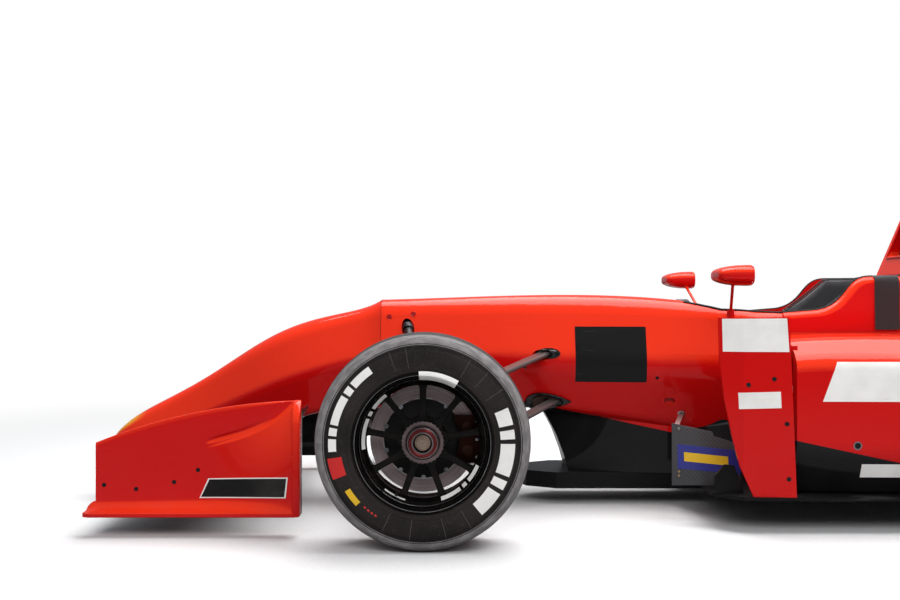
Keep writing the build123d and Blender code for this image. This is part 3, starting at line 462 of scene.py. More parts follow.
    @staticmethod
    def stud(
        name: str, node: str, origin: Point, way: Point, radius: float, rise: float, sides: int = 24,
    ) -> Piece:
        """A round or many sided head that stands square on a node, where a straight line first meets it."""
        place, normal = Bench.touch(node, Vector(origin), Vector(way))
        return Bench.rod(
            name, place - normal * 0.003, place + normal * rise, radius, sides, min(0.0008, rise / 3))

    @staticmethod
    def studs(
        node: str, side: Side, places: Iterable[Pair], radius: float, rise: float, sides: int = 24,
    ) -> list[Piece]:
        """Heads on a node's flank, at given X from the front axle and Z."""
        return [Bench.stud("head", node, side.at(x, OUTSIDE, z), side.out(-1), radius, rise, sides)
                for x, z in places]

    @staticmethod
    def bar(name: str, start: Point, end: Point, across: Point, thick: float, bevel: float = 0.0005) -> Piece:
        """A flat bar between two points, as wide as across, thick along the third way."""
        start, end, across = Vector(start), Vector(end), Vector(across)
        depth = (end - start).cross(across).normalized() * thick
        half = across / 2
        return Bench.plate(name, [start - half, start + half, end + half, end - half], depth, bevel)

    @staticmethod
    def hoop(name: str, place: Point, way: Point, radius: float, thick: float, sides: int = 10) -> Piece:
        """A round ring of round section that stands square to a way."""
        Bench.clear()
        bpy.ops.mesh.primitive_torus_add(
            major_radius=radius, minor_radius=thick, major_segments=40, minor_segments=sides, location=place,
            rotation=Vector(way).to_track_quat("Z", "Y").to_euler())
        return Bench.settle(Bench.named(name))

    @staticmethod
    def tube(name: str, path: list[Point], radius: float, sides: int = 10) -> Piece:
        """A round trim along a path of points, nearly level, that runs to a point at both ends."""
        points = [Vector(point) for point in path]
        last = len(points) - 1

        def shape(u: float, v: float) -> Vector:
            """A place on the trim."""
            i = round(u * last)
            run = (points[min(i + 1, last)] - points[max(i - 1, 0)]).normalized()
            side = run.cross(Vector(Axis.Z.value)).normalized()
            turn = math.tau * v
            size = radius if 0 < i < last else 0.0
            return points[i] + size * (math.cos(turn) * side + math.sin(turn) * side.cross(run))

        return Bench.surface(name, last + 1, sides + 1, shape)

    @staticmethod
    def along(start: Point, end: Point, distance: float) -> Vector:
        """The point at a distance from start on the way to end."""
        start, end = Vector(start), Vector(end)
        return start + (end - start).normalized() * distance

    @staticmethod
    def fit(piece: Piece, finish: "Finish", slot: str, body: str = "chassis", angle: float = 35) -> Piece:
        """Shades a finished piece, keeping sharp edges, dresses it and makes it ride on a body.

        Args:
            piece: the piece.
            finish: its surface.
            slot: not used.
            body: the body that it rides on.
            angle: degrees from which an edge stays sharp.

        Returns:
            The piece.
        """
        Bench.hold(piece)
        bpy.ops.object.shade_smooth_by_angle(angle=math.radians(angle))
        piece.data.materials.clear()
        piece.data.materials.append(finish.make())
        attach(piece, body)
        Bench.clear()
        return piece

    @staticmethod
    def group(
        name: str, pieces: list[Piece], finish: "Finish", slot: str, body: str = "chassis", angle: float = 35,
    ) -> Piece:
        """Joins pieces into one, then fits it."""
        return Bench.fit(Bench.joined(name, pieces), finish, slot, body, angle)


class Skin:
    """Thin parts that follow the surface of a node: films, bare plates and joint lines."""

    @staticmethod
    def patch(name: str, node: str, corners: list[Pair], side: Side, rise: float = 0.0008) -> Piece:
        """A thin plate on a node's flank.

        Args:
            name: the piece's name.
            node: the node that it lies on.
            corners: X from the front axle and Z of its corners, clockwise as seen from the left.
            side: the flank.
            rise: its thickness.

        Returns:
            The plate.
        """
        piece = Bench.copy_of(NODES[node], name)
        for (x0, z0), (x1, z1) in zip(corners, corners[1:] + corners[:1]):
            run = Vector((x1 - x0, 0, z1 - z0))
            Skin.cut(piece, at(x0, 0, z0), Vector((-run.z, 0, run.x)))
        Bench.keep_faces(
            piece, lambda middle, normal: normal.y * side.value > 0.25 and middle.y * side.value > 0)
        return Skin.thicken(piece, rise)

    @staticmethod
    def band(name: str, node: str, place: Vector, way: Vector, width: float, rise: float = 0.0004) -> Piece:
        """A thin band round a node between two planes, such as a joint line."""
        piece = Bench.copy_of(NODES[node], name)
        way = way.normalized()
        Skin.cut(piece, place + way * width / 2, way)
        Skin.cut(piece, place - way * width / 2, -way)
        return Skin.thicken(piece, rise)

    @staticmethod
    def cut(piece: Piece, place: Vector, outward: Vector) -> None:
        """Bisects a piece and clears what lies on the outward side."""
        Bench.edit(piece)
        bpy.ops.mesh.bisect(plane_co=place, plane_no=outward.normalized(), clear_outer=True)
        Bench.clear()

    @staticmethod
    def thicken(piece: Piece, rise: float) -> Piece:
        """Gives a cut skin its thickness, outwards."""
        return Bench.apply(piece, "SOLIDIFY", thickness=rise, offset=1.0, use_even_offset=False)


# Node graphs


class Graph:
    """A node tree with one short call for each kind of step."""

    def __init__(self, tree: Tree) -> None:
        """Works on one tree."""
        self.tree = tree

    def node(self, kind: str, **settings: object) -> bpy.types.Node:
        """Adds a shader node with its settings."""
        made = self.tree.nodes.new("ShaderNode" + kind)
        for key, value in settings.items():
            setattr(made, key, value)
        return made

    def feed(self, target: Socket, value: object) -> None:
        """Joins a socket to an input, or sets the input's own value."""
        if isinstance(value, bpy.types.NodeSocket):
            self.tree.links.new(value, target)
        elif isinstance(value, tuple) and len(value) == 3 and target.type == "RGBA":
            target.default_value = (*value, 1.0)
        else:
            target.default_value = value

    def math(self, operation: str, *values: object) -> Socket:
        """One step of arithmetic."""
        made = self.node("Math", operation=operation)
        for target, value in zip(made.inputs, values):
            self.feed(target, value)
        return made.outputs[0]

    def ramp(
        self, value: Socket, low: object, high: object, to_low: float = 0.0, to_high: float = 1.0,
    ) -> Socket:
        """A smooth step of a value between two limits."""
        made = self.node("MapRange", interpolation_type="SMOOTHSTEP", clamp=True)
        for target, given in zip(made.inputs, (value, low, high, to_low, to_high)):
            self.feed(target, given)
        return made.outputs[0]

    def mix(self, factor: object, first: object, second: object) -> Socket:
        """A blend of two colours."""
        made = self.node("Mix", data_type="RGBA")
        self.feed(made.inputs["Factor"], factor)
        self.feed(made.inputs[6], first)
        self.feed(made.inputs[7], second)
        return made.outputs[2]

    def blend(self, factor: object, first: object, second: object) -> Socket:
        """A blend of two numbers."""
        made = self.node("Mix", data_type="FLOAT")
        self.feed(made.inputs["Factor"], factor)
        self.feed(made.inputs[2], first)
        self.feed(made.inputs[3], second)
        return made.outputs[0]

    def noise(self, place: Socket, scale: object, detail: float = 3.0) -> Socket:
        """Plain noise, from 0 to 1."""
        made = self.node("TexNoise", noise_dimensions="3D")
        self.feed(made.inputs["Vector"], place)
        self.feed(made.inputs["Scale"], scale)
        self.feed(made.inputs["Detail"], detail)
        return made.outputs["Fac"]

    def place(self) -> Socket:
        """The object's own coordinates."""
        return self.node("TexCoord").outputs["Object"]

    def split(self, vector: Socket) -> tuple[Socket, Socket, Socket]:
        """The three parts of a vector."""
        made = self.node("SeparateXYZ")
        self.feed(made.inputs[0], vector)
        return made.outputs[0], made.outputs[1], made.outputs[2]

    def joined(self, x: object, y: object, z: object) -> Socket:
        """A vector from three numbers."""
        made = self.node("CombineXYZ")
        for target, value in zip(made.inputs, (x, y, z)):
            self.feed(target, value)
        return made.outputs[0]

    def bump(self, height: Socket, distance: float, strength: float = 1.0) -> Socket:
        """A normal from a height, with the distance in metres."""
        made = self.node("Bump")
        self.feed(made.inputs["Height"], height)
        self.feed(made.inputs["Distance"], distance)
        self.feed(made.inputs["Strength"], strength)
        return made.outputs["Normal"]

    def times(self, first: object, second: object) -> Socket:
        """A product."""
        return self.math("MULTIPLY", first, second)

    def plus(self, first: object, second: object) -> Socket:
        """A sum."""
        return self.math("ADD", first, second)

    def scuffs(self, place: Socket, scale: float, amount: float) -> Socket:
        """Mask of the fine scratches."""
        return self.use(Effects.scuffs(), Place=place, Scale=scale, Amount=amount).outputs["Mask"]

    def dust(self, place: Socket, amount: float, reach: float) -> Socket:
        """Mask of the road dust, up to a height."""
        return self.use(Effects.dust(), Place=place, Amount=amount, Reach=reach).outputs["Mask"]

    def polar(self, place: Socket, x: float, z: float) -> tuple[Socket, Socket]:
        """Radius and angle about an axle's line."""
        made = self.use(Effects.round_about(), Place=place, Centre_X=x, Centre_Z=z).outputs
        return made["Radius"], made["Angle"]

    def dress(
        self, shader: bpy.types.Node, colour: object, rough: object, normal: Socket, **fixed: float,
    ) -> None:
        """Joins colour, roughness and normal to the shader, and sets its fixed values."""
        for name, value in (("Base Color", colour), ("Roughness", rough), ("Normal", normal)):
            self.feed(shader.inputs[name], value)
        for key, value in fixed.items():
            shader.inputs[key.replace("_", " ")].default_value = value

    def use(self, tree: Tree, **values: object) -> bpy.types.Node:
        """Places a shared group with its own values."""
        made = self.node("Group", node_tree=tree)
        for key, value in values.items():
            self.feed(made.inputs[key.replace("_", " ")], value)
        return made


class Effects:
    """Shader groups that several finishes share. Each is built once."""

    @staticmethod
    def start(name: str, inputs: dict[str, object], outputs: list[str]) -> tuple[Graph, object, object]:
        """A new group with its sockets.

        Args:
            name: the group's name.
            inputs: name and starting value of each input; a vector is None.
            outputs: names of the outputs.

        Returns:
            A graph on the group, the sockets that it is given and those that it fills.
        """
        tree = bpy.data.node_groups.new(name, "ShaderNodeTree")
        for key, value in inputs.items():
            kind = "NodeSocketVector" if value is None else "NodeSocketFloat"
            made = tree.interface.new_socket(name=key, in_out="INPUT", socket_type=kind)
            if value is not None:
                made.default_value = value
        for key in outputs:
            tree.interface.new_socket(name=key, in_out="OUTPUT", socket_type="NodeSocketFloat")
        given, done = (tree.nodes.new(f"NodeGroup{end}") for end in ("Input", "Output"))
        return Graph(tree), given.outputs, done.inputs

    @staticmethod
    @cache
    def dust() -> Tree:
        """Road dust: more of it low down and on faces that look up."""
        graph, given, done = Effects.start(
            "road_dust", {"Place": None, "Amount": 0.3, "Reach": 0.5}, ["Mask"])
        _, _, height = graph.split(given["Place"])
        low = graph.ramp(height, given["Reach"], 0.02)
        _, _, up = graph.split(graph.node("NewGeometry").outputs["Normal"])
        lying = graph.ramp(up, -0.2, 1.0, 0.35, 1.0)
        broken = graph.ramp(graph.noise(given["Place"], 7.0, 6.0), 0.35, 0.75)
        mask = graph.times(graph.times(low, lying), broken)
        graph.feed(done["Mask"], graph.times(mask, given["Amount"]))
        return graph.tree

    @staticmethod
    @cache
    def scuffs() -> Tree:
        """Fine scratches and rub marks."""
        graph, given, done = Effects.start("scuffs", {"Place": None, "Scale": 30.0, "Amount": 0.5}, ["Mask"])
        stretched = graph.node("Mapping")
        graph.feed(stretched.inputs["Vector"], given["Place"])
        stretched.inputs["Scale"].default_value = (0.15, 0.4, 2.2)
        stretched.inputs["Rotation"].default_value = (0.3, 0.5, 0.2)
        thin = graph.ramp(graph.noise(stretched.outputs[0], given["Scale"], 5.0), 0.60, 0.68)
        where = graph.ramp(graph.noise(given["Place"], 5.0), 0.45, 0.65)
        mask = graph.times(graph.times(thin, where), given["Amount"])
        graph.feed(done["Mask"], mask)
        return graph.tree

    @staticmethod
    @cache
    def twill() -> Tree:
        """Two over two twill weave, laid on each face by its own direction."""
        graph, given, done = Effects.start("twill", {"Place": None, "Tow": 0.003}, ["Shade", "Height"])
        x, y, z = graph.split(given["Place"])
        nx, _, nz = graph.split(graph.node("NewGeometry").outputs["Normal"])
        lying = graph.math("GREATER_THAN", graph.math("ABSOLUTE", nz), 0.72)
        facing = graph.math("GREATER_THAN", graph.math("ABSOLUTE", nx), 0.72)
        across = graph.blend(facing, x, y)
        along = graph.blend(lying, z, y)
        u, v = (graph.math("DIVIDE", value, given["Tow"]) for value in (across, along))
        step = graph.plus(graph.math("FLOOR", u), graph.math("FLOOR", v))
        over = graph.math("LESS_THAN", graph.math("FLOORED_MODULO", step, 4.0), 2.0)
        humps = [graph.math("SINE", graph.times(graph.math("FRACT", value), math.pi)) for value in (u, v)]
        height = graph.blend(over, humps[1], humps[0])
        shade = graph.blend(over, graph.times(height, 0.45), graph.times(height, 1.0))
        graph.feed(done["Shade"], shade)
        graph.feed(done["Height"], height)
        return graph.tree

    @staticmethod
    @cache
    def round_about() -> Tree:
        """Radius and angle about an axle's line."""
        graph, given, done = Effects.start(
            "round_about", {"Place": None, "Centre X": 0.0, "Centre Z": 0.0}, ["Radius", "Angle"])
        x, _, z = graph.split(given["Place"])
        x = graph.math("SUBTRACT", x, given["Centre X"])
        z = graph.math("SUBTRACT", z, given["Centre Z"])
        squares = graph.plus(graph.times(x, x), graph.times(z, z))
        graph.feed(done["Radius"], graph.math("SQRT", squares))
        graph.feed(done["Angle"], graph.math("ARCTAN2", z, x))
        return graph.tree


class Finish:
    """A surface finish. Each kind fills in its own graph on a Principled shader."""

    name: str

    def make(self) -> bpy.types.Material:
        """The material, built on first use."""
        found = bpy.data.materials.get(self.name)
        if found:
            return found
        material = bpy.data.materials.new(self.name)
        material.use_nodes = True
        tree = material.node_tree
        shader = tree.nodes["Principled BSDF"]
        self.fill(Graph(tree), shader)
        return material

    def fill(self, graph: Graph, shader: bpy.types.Node) -> None:
        """Joins this finish's nodes to the shader."""
        raise NotImplementedError


@dataclass(frozen=True)
class GlossPaint(Finish):
    """Clear coated paint with orange peel, a deeper red painted as shade on upright and downward faces, faint
    scuffs and road dust, and a black lower part if asked.
    """

    name: str
    # colour is the painted lit red of upward faces; deep is the painted shade of upright and downward faces,
    # and also the random tone
    colour: Colour = (0.84, 0.034, 0.008)
    deep: Colour = (0.60, 0.004, 0.004)
    black_below: Point | None = None
    dark_inside: bool = False
    dark_floor: float = -1.0
    tip: float | None = None
    tip_colour: Colour = (0.85, 0.52, 0.02)

    def fill(self, graph: Graph, shader: bpy.types.Node) -> None:
        """Paint over the whole part with painted shade on upright and downward faces, then the lower part,
        the inside and the nose tip.
        """
        place = graph.place()
        x, y, z = graph.split(place)
        normal = graph.node("NewGeometry").outputs["Normal"]
        nx, ny, nz = graph.split(normal)
        tone = graph.ramp(graph.noise(place, 1.6, 2.0), 0.3, 0.75, 0.0, 0.2)
        # Painted shade: upright and downward faces take the deep red, upward faces the brighter, more orange
        # red
        painted_shade_flanks = graph.ramp(nz, 0.28, -0.02)
        colour = graph.mix(graph.math("MAXIMUM", tone, painted_shade_flanks), self.colour, self.deep)
        chips = graph.ramp(graph.noise(place, 260.0, 1.0), 0.775, 0.79)
        fronts = graph.ramp(nx, -0.25, -0.8)
        colour = graph.mix(graph.times(chips, fronts), colour, (0.06, 0.05, 0.05))
        if self.tip is not None:
            ahead = graph.ramp(x, self.tip + 0.075, self.tip - 0.005)
            top = graph.ramp(nz, 0.4, 0.8)
            colour = graph.mix(graph.times(ahead, top), colour, self.tip_colour)
        dust = graph.dust(place, 0.045, 0.40)
        scuff = graph.scuffs(place, 26.0, 0.35)
        rough = graph.plus(0.24, graph.times(scuff, 0.3))
        height = graph.noise(place, 420.0, 2.0)
        dark = None
        if self.black_below is not None:
            start, level, slope = self.black_below
            line = graph.math("MULTIPLY_ADD", graph.math("SUBTRACT", x, start), slope, level)
            dark = graph.ramp(graph.math("SUBTRACT", line, z), -0.0008, 0.0008)
        if self.dark_inside:
            inward = graph.ramp(graph.times(ny, y), -0.004, -0.012)
            floor = graph.times(
                graph.math("GREATER_THAN", nz, 0.6), graph.math("LESS_THAN", z, self.dark_floor))
            inward = graph.times(inward, graph.math("LESS_THAN", z, 0.597))
            inside = graph.math("MAXIMUM", inward, floor)
            dark = graph.math("MAXIMUM", dark, inside) if dark else inside
        if dark:
            weave = graph.use(Effects.twill(), Place=place, Tow=0.0028)
            carbon = graph.mix(weave.outputs["Shade"], (0.003, 0.003, 0.0035), (0.010, 0.010, 0.011))
            colour = graph.mix(dark, colour, carbon)
            rough = graph.blend(dark, rough, 0.38)
        colour = graph.mix(dust, colour, (0.30, 0.26, 0.23))
        graph.dress(
            shader, colour, graph.plus(rough, graph.times(dust, 0.8)), graph.bump(height, 0.00003),
            Specular_IOR_Level=0.06, Coat_Weight=0.45, Coat_IOR=1.45, Coat_Roughness=0.03)


@dataclass(frozen=True)
class Carbon(Finish):
    """Woven carbon under lacquer, with scuffs and dust."""

    name: str
    light: Colour = (0.030, 0.030, 0.032)
    deep: Colour = (0.007, 0.007, 0.008)
    roughness: float = 0.36
    coat: float = 0.6
    dust: float = 0.35
    scuff: float = 0.5

    def fill(self, graph: Graph, shader: bpy.types.Node) -> None:
        """Weave, then scuffs and dust on top."""
        place = graph.place()
        weave = graph.use(Effects.twill(), Place=place, Tow=0.003)
        colour = graph.mix(weave.outputs["Shade"], self.deep, self.light)
        scuff = graph.scuffs(place, 34.0, self.scuff)
        dust = graph.dust(place, self.dust, 0.5)
        colour = graph.mix(scuff, colour, (0.10, 0.10, 0.10))
        colour = graph.mix(dust, colour, (0.13, 0.12, 0.11))
        rough = graph.plus(self.roughness, graph.times(graph.plus(scuff, dust), 0.5))
        graph.dress(
            shader, colour, rough, graph.bump(weave.outputs["Height"], 0.00012),
            Specular_IOR_Level=0.07, Coat_Weight=self.coat, Coat_Roughness=0.12)


@dataclass(frozen=True)
class Metal(Finish):
    """Bare, anodised or cast metal with grain, stains and worn spots."""

    name: str
    colour: Colour
    roughness: float = 0.35
    grain: float = 0.00004
    grain_scale: float = 500.0
    wear: Colour = (0.55, 0.55, 0.56)
    worn: float = 0.25
    caliper_from: float | None = None

    def fill(self, graph: Graph, shader: bpy.types.Node) -> None:
        """Tone, stains and grain."""
        place = graph.place()
        tone = graph.ramp(graph.noise(place, 18.0, 5.0), 0.3, 0.75)
        darker = tuple(0.55 * part for part in self.colour)
        colour = graph.mix(tone, self.colour, darker)
        scuff = graph.scuffs(place, 60.0, self.worn)
        colour = graph.mix(scuff, colour, self.wear)
        if self.caliper_from is not None:
            x, _, _ = graph.split(place)
            colour = graph.mix(
                graph.math("GREATER_THAN", x, self.caliper_from), colour, (0.030, 0.011, 0.008))
        grain = graph.noise(place, self.grain_scale, 3.0)
        rough = graph.plus(self.roughness, graph.times(tone, 0.15))
        rough = graph.math("SUBTRACT", rough, graph.times(scuff, 0.1))
        graph.dress(shader, colour, rough, graph.bump(grain, self.grain), Metallic=1.0)


@dataclass(frozen=True)
class Enamel(Finish):
    """Black wheel enamel with patches of brake dust and rubbed edges."""

    name: str
    colour: Colour = (0.0026, 0.0023, 0.0022)
    dusty: Colour = (0.009, 0.0065, 0.005)

    def fill(self, graph: Graph, shader: bpy.types.Node) -> None:
        """Enamel, brake dust and scuffs."""
        place = graph.place()
        dust = graph.ramp(graph.noise(place, 24.0, 5.0), 0.42, 0.78)
        colour = graph.mix(dust, self.colour, self.dusty)
        scuff = graph.scuffs(place, 70.0, 0.35)
        colour = graph.mix(scuff, colour, (0.02, 0.017, 0.015))
        edges = graph.ramp(graph.node("NewGeometry").outputs["Pointiness"], 0.57, 0.66, 0.0, 0.12)
        colour = graph.mix(edges, colour, (0.13, 0.12, 0.11))
        grain = graph.bump(graph.noise(place, 500.0, 2.0), 0.00002)
        graph.dress(
            shader, colour, graph.math("MULTIPLY_ADD", dust, 0.15, 0.16), grain, Specular_IOR_Level=0.14)


@dataclass(frozen=True)
class TyreRubber(Finish):
    """Slick tyre: dark sidewalls with moulding rings and a paler tread shoulder, partly rubbed rubber and
    partly painted sheen.
    """

    name: str
    centre_x: float
    centre_z: float
    radius: float

    def fill(self, graph: Graph, shader: bpy.types.Node) -> None:
        """Sidewall, tread band and their marks."""
        place = graph.place()
        radius, angle = graph.polar(place, self.centre_x, self.centre_z)
        _, y, _ = graph.split(place)
        wound = graph.joined(graph.times(angle, 0.35), graph.times(y, 9.0), radius)
        streaks = graph.noise(wound, 26.0, 5.0)
        tread = graph.ramp(radius, self.radius - 0.0305, self.radius - 0.0275)
        blotches = graph.noise(place, 9.0, 5.0)
        side = graph.mix(graph.ramp(blotches, 0.3, 0.7), (0.014, 0.0115, 0.011), (0.028, 0.0225, 0.0215))
        # The pale tread shoulder is partly rubbed rubber and partly painted highlight: its grey stands in for
        # the sheen of the light from above; the crown stays dark
        band = graph.mix(graph.ramp(streaks, 0.35, 0.7), (0.16, 0.150, 0.150), (0.26, 0.245, 0.245))
        crown = graph.mix(graph.ramp(streaks, 0.3, 0.75), (0.028, 0.026, 0.026), (0.065, 0.060, 0.058))
        band = graph.mix(graph.ramp(radius, self.radius - 0.0060, self.radius - 0.0030), band, crown)
        rings = graph.math("SINE", graph.times(radius, 2600.0))
        height = graph.blend(tread, graph.times(rings, 0.25), graph.noise(place, 900.0, 4.0))
        specks = graph.ramp(graph.noise(place, 330.0, 1.0), 0.70, 0.74, 0.0, 0.35)
        colour = graph.mix(tread, side, band)
        for inside in (0.0335, 0.0375, 0.0262):
            off = graph.math("ABSOLUTE", graph.math("SUBTRACT", radius, self.radius - inside))
            colour = graph.mix(graph.ramp(off, 0.0011, 0.0006), colour, (0.004, 0.004, 0.004))
        colour = graph.mix(specks, colour, (0.16, 0.15, 0.14))
        rough = graph.blend(tread, graph.ramp(blotches, 0.3, 0.7, 0.48, 0.6), 0.72)
        graph.dress(shader, colour, rough, graph.bump(height, 0.00012), Specular_IOR_Level=0.2)


@dataclass(frozen=True)
class BrakeIron(Finish):
    """Ground friction faces with fine rings and heat tint."""

    name: str
    centre_x: float
    centre_z: float
    inner: float
    outer: float

    def fill(self, graph: Graph, shader: bpy.types.Node) -> None:
        """Friction band, its rings and the dark bell."""
        place = graph.place()
        radius, angle = graph.polar(place, self.centre_x, self.centre_z)
        fine = graph.joined(graph.times(radius, 900.0), graph.times(angle, 0.8), 0.0)
        rings = graph.noise(fine, 1.0, 3.0)
        tint = graph.ramp(radius, self.inner + 0.004, self.outer - 0.004)
        ground = graph.mix(tint, (0.36, 0.27, 0.26), (0.55, 0.44, 0.44))
        ground = graph.mix(graph.ramp(rings, 0.35, 0.7), ground, (0.24, 0.18, 0.18))
        band = graph.ramp(radius, self.inner - 0.001, self.inner + 0.001)
        bell = graph.mix(graph.noise(place, 60.0), (0.010, 0.009, 0.009), (0.024, 0.021, 0.019))
        graph.dress(
            shader, graph.mix(band, bell, ground), graph.blend(band, 0.55, 0.38), graph.bump(rings, 0.00005),
            Metallic=0.35)


@dataclass(frozen=True)
class Film(Finish):
    """Printed film or painted plate: plain, slightly scuffed and dusty."""

    name: str
    colour: Colour
    roughness: float = 0.35
    coat: float = 0.3

    def fill(self, graph: Graph, shader: bpy.types.Node) -> None:
        """Tone, scuffs and dust."""
        place = graph.place()
        darker = tuple(0.91 * part for part in self.colour)
        colour = graph.mix(graph.ramp(graph.noise(place, 14.0, 4.0), 0.35, 0.7), self.colour, darker)
        scuff = graph.scuffs(place, 44.0, 0.4)
        dust = graph.dust(place, 0.25, 0.45)
        colour = graph.mix(graph.times(scuff, 0.4), colour, (0.25, 0.24, 0.23))
        colour = graph.mix(dust, colour, (0.30, 0.27, 0.24))
        rough = graph.math("MULTIPLY_ADD", scuff, 0.35, self.roughness)
        graph.dress(
            shader, colour, rough, graph.bump(graph.noise(place, 300.0), 0.00002),
            Specular_IOR_Level=0.2, Coat_Weight=self.coat, Coat_Roughness=0.2)


@dataclass(frozen=True)
class Fabric(Finish):
    """Cloth, webbing or suede, with its weave as relief and a soft sheen."""

    name: str
    colour: Colour
    thread: float = 0.0009
    relief: float = 0.0002

    def fill(self, graph: Graph, shader: bpy.types.Node) -> None:
        """Weave and worn tone."""
        place = graph.place()
        weave = graph.use(Effects.twill(), Place=place, Tow=self.thread)
        lighter = tuple(min(1.0, 1.7 * part + 0.01) for part in self.colour)
        tone = graph.ramp(graph.noise(place, 22.0, 5.0), 0.3, 0.75)
        colour = graph.mix(graph.times(weave.outputs["Shade"], 0.6), self.colour, lighter)
        colour = graph.mix(graph.times(tone, 0.35), colour, lighter)
        rough = graph.math("MULTIPLY_ADD", tone, 0.1, 0.85)
        graph.dress(
            shader, colour, rough, graph.bump(weave.outputs["Height"], self.relief),
            Sheen_Weight=0.25, Sheen_Roughness=0.5)


# Finishes of this car

RED = GlossPaint("racing_red")
NOSE_RED = GlossPaint("nose_red", tip=FRONT_AXLE_X - 0.965)
TUB_RED = GlossPaint(
    "tub_red", black_below=(FRONT_AXLE_X + 0.357, 0.309, -0.206), dark_inside=True, dark_floor=0.2)
PLATE_RED = GlossPaint("endplate_red", dark_inside=True)
POD_RED = GlossPaint("sidepod_red", black_below=(FRONT_AXLE_X + 1.025, 0.251, -0.215))
CARBON = Carbon(
    "floor_carbon", light=(0.010, 0.010, 0.011), deep=(0.003, 0.003, 0.003), coat=0.1, dust=0.10, scuff=0.2)
WING_CARBON = Carbon("wing_carbon", light=(0.02, 0.02, 0.021), roughness=0.3, coat=0.4, dust=0.25)
VANE_CARBON = Carbon(
    "vane_carbon", light=(0.085, 0.085, 0.09), deep=(0.04, 0.04, 0.043), coat=0.3, roughness=0.45)
ARM_CARBON = Carbon("arm_carbon", light=(0.12, 0.098, 0.095), deep=(0.065, 0.052, 0.05), dust=0.1)
SEAT_CARBON = Carbon("seat_carbon", light=(0.04, 0.04, 0.042), coat=0.1, roughness=0.55, dust=0.1)
WHEEL_BLACK = Enamel("wheel_enamel")
FRONT_UPRIGHT = Metal("front_upright", (0.26, 0.26, 0.27), 0.42, caliper_from=FRONT_AXLE_X + 0.074)
REAR_UPRIGHT = Metal(
    "rear_upright", (0.26, 0.26, 0.27), 0.42, caliper_from=FRONT_AXLE_X + REAR_AXLE_X + 0.074)
STEEL = Metal("bright_steel", (0.52, 0.52, 0.54), 0.28)
DARK_STEEL = Metal("dark_steel", (0.05, 0.05, 0.052), 0.4, wear=(0.2, 0.2, 0.2))
CAST = Metal("cast_metal", (0.36, 0.36, 0.37), 0.5, grain=0.00035, grain_scale=260.0)
DARK_CAST = Metal("dark_cast", (0.12, 0.12, 0.125), 0.5, grain=0.0003, grain_scale=260.0)
GRIP_SUEDE = Fabric("grip_suede", (0.018, 0.018, 0.019), thread=0.0007, relief=0.0001)
PAD_CLOTH = Fabric("pad_cloth", (0.022, 0.022, 0.024))
WEBBING = Fabric("belt_cloth", (0.012, 0.012, 0.013), thread=0.0014, relief=0.0003)
NUT_STEEL = Metal("nut_steel", (0.36, 0.27, 0.27), 0.32, worn=0.5)
RED_ANODISED = Metal("red_anodised", (0.30, 0.045, 0.045), 0.26, wear=(0.66, 0.42, 0.40), worn=1.0)
BRONZE = Metal("bronze_cap", (0.62, 0.46, 0.36), 0.34, wear=(0.8, 0.7, 0.6), worn=0.6)
CAP_RED = Film("cap_red", (0.30, 0.004, 0.004), 0.5, 0.1)
GLOSS_BLACK = Film("gloss_black", (0.004, 0.004, 0.004), 0.12, 1.0)
MIRROR_GLASS = Metal("mirror_glass", (0.62, 0.64, 0.66), 0.03, grain=0.0, worn=0.05)
RADIATOR = Metal("radiator_alloy", (0.16, 0.16, 0.165), 0.45)
BRASS = Metal("brass", (0.62, 0.47, 0.24), 0.3)
CALIPER = Metal("caliper_brown", (0.075, 0.032, 0.022), 0.4, wear=(0.2, 0.12, 0.1))
MOULD_GREY = Film("mould_grey", (0.085, 0.075, 0.07), 0.6, 0.0)
SHIELD = Metal("heat_shield", (0.13, 0.085, 0.065), 0.42, wear=(0.4, 0.33, 0.3), worn=0.7)
EXHAUST = Metal("exhaust_steel", (0.34, 0.27, 0.22), 0.36, wear=(0.30, 0.32, 0.45), worn=0.8)
ALLOY = Metal("pale_alloy", (0.62, 0.61, 0.59), 0.36)
FACE_CARBON = Carbon("face_carbon", light=(0.035, 0.035, 0.036), coat=0.8, roughness=0.3, dust=0.05)
MESH_BLACK = Film("mesh_black", (0.02, 0.02, 0.02), 0.5, 0.1)
BOOT_RUBBER = Film("boot_rubber", (0.012, 0.012, 0.012), 0.6, 0.0)
LAMP_RED = Film("lamp_red", (0.42, 0.008, 0.008), 0.12, 1.0)
WHITE_FILM = Film("white_film", (0.90, 0.885, 0.85))
BLACK_FILM = Film("black_film", (0.006, 0.006, 0.006), 0.4, 0.1)
BLUE_FILM = Film("blue_film", (0.025, 0.03, 0.24))
YELLOW_FILM = Film("yellow_film", (0.82, 0.50, 0.02))
RED_FILM = Film("red_film", (0.62, 0.02, 0.02))
JOINT_DARK = Film("joint_dark", (0.10, 0.004, 0.004), 0.6, 0.0)


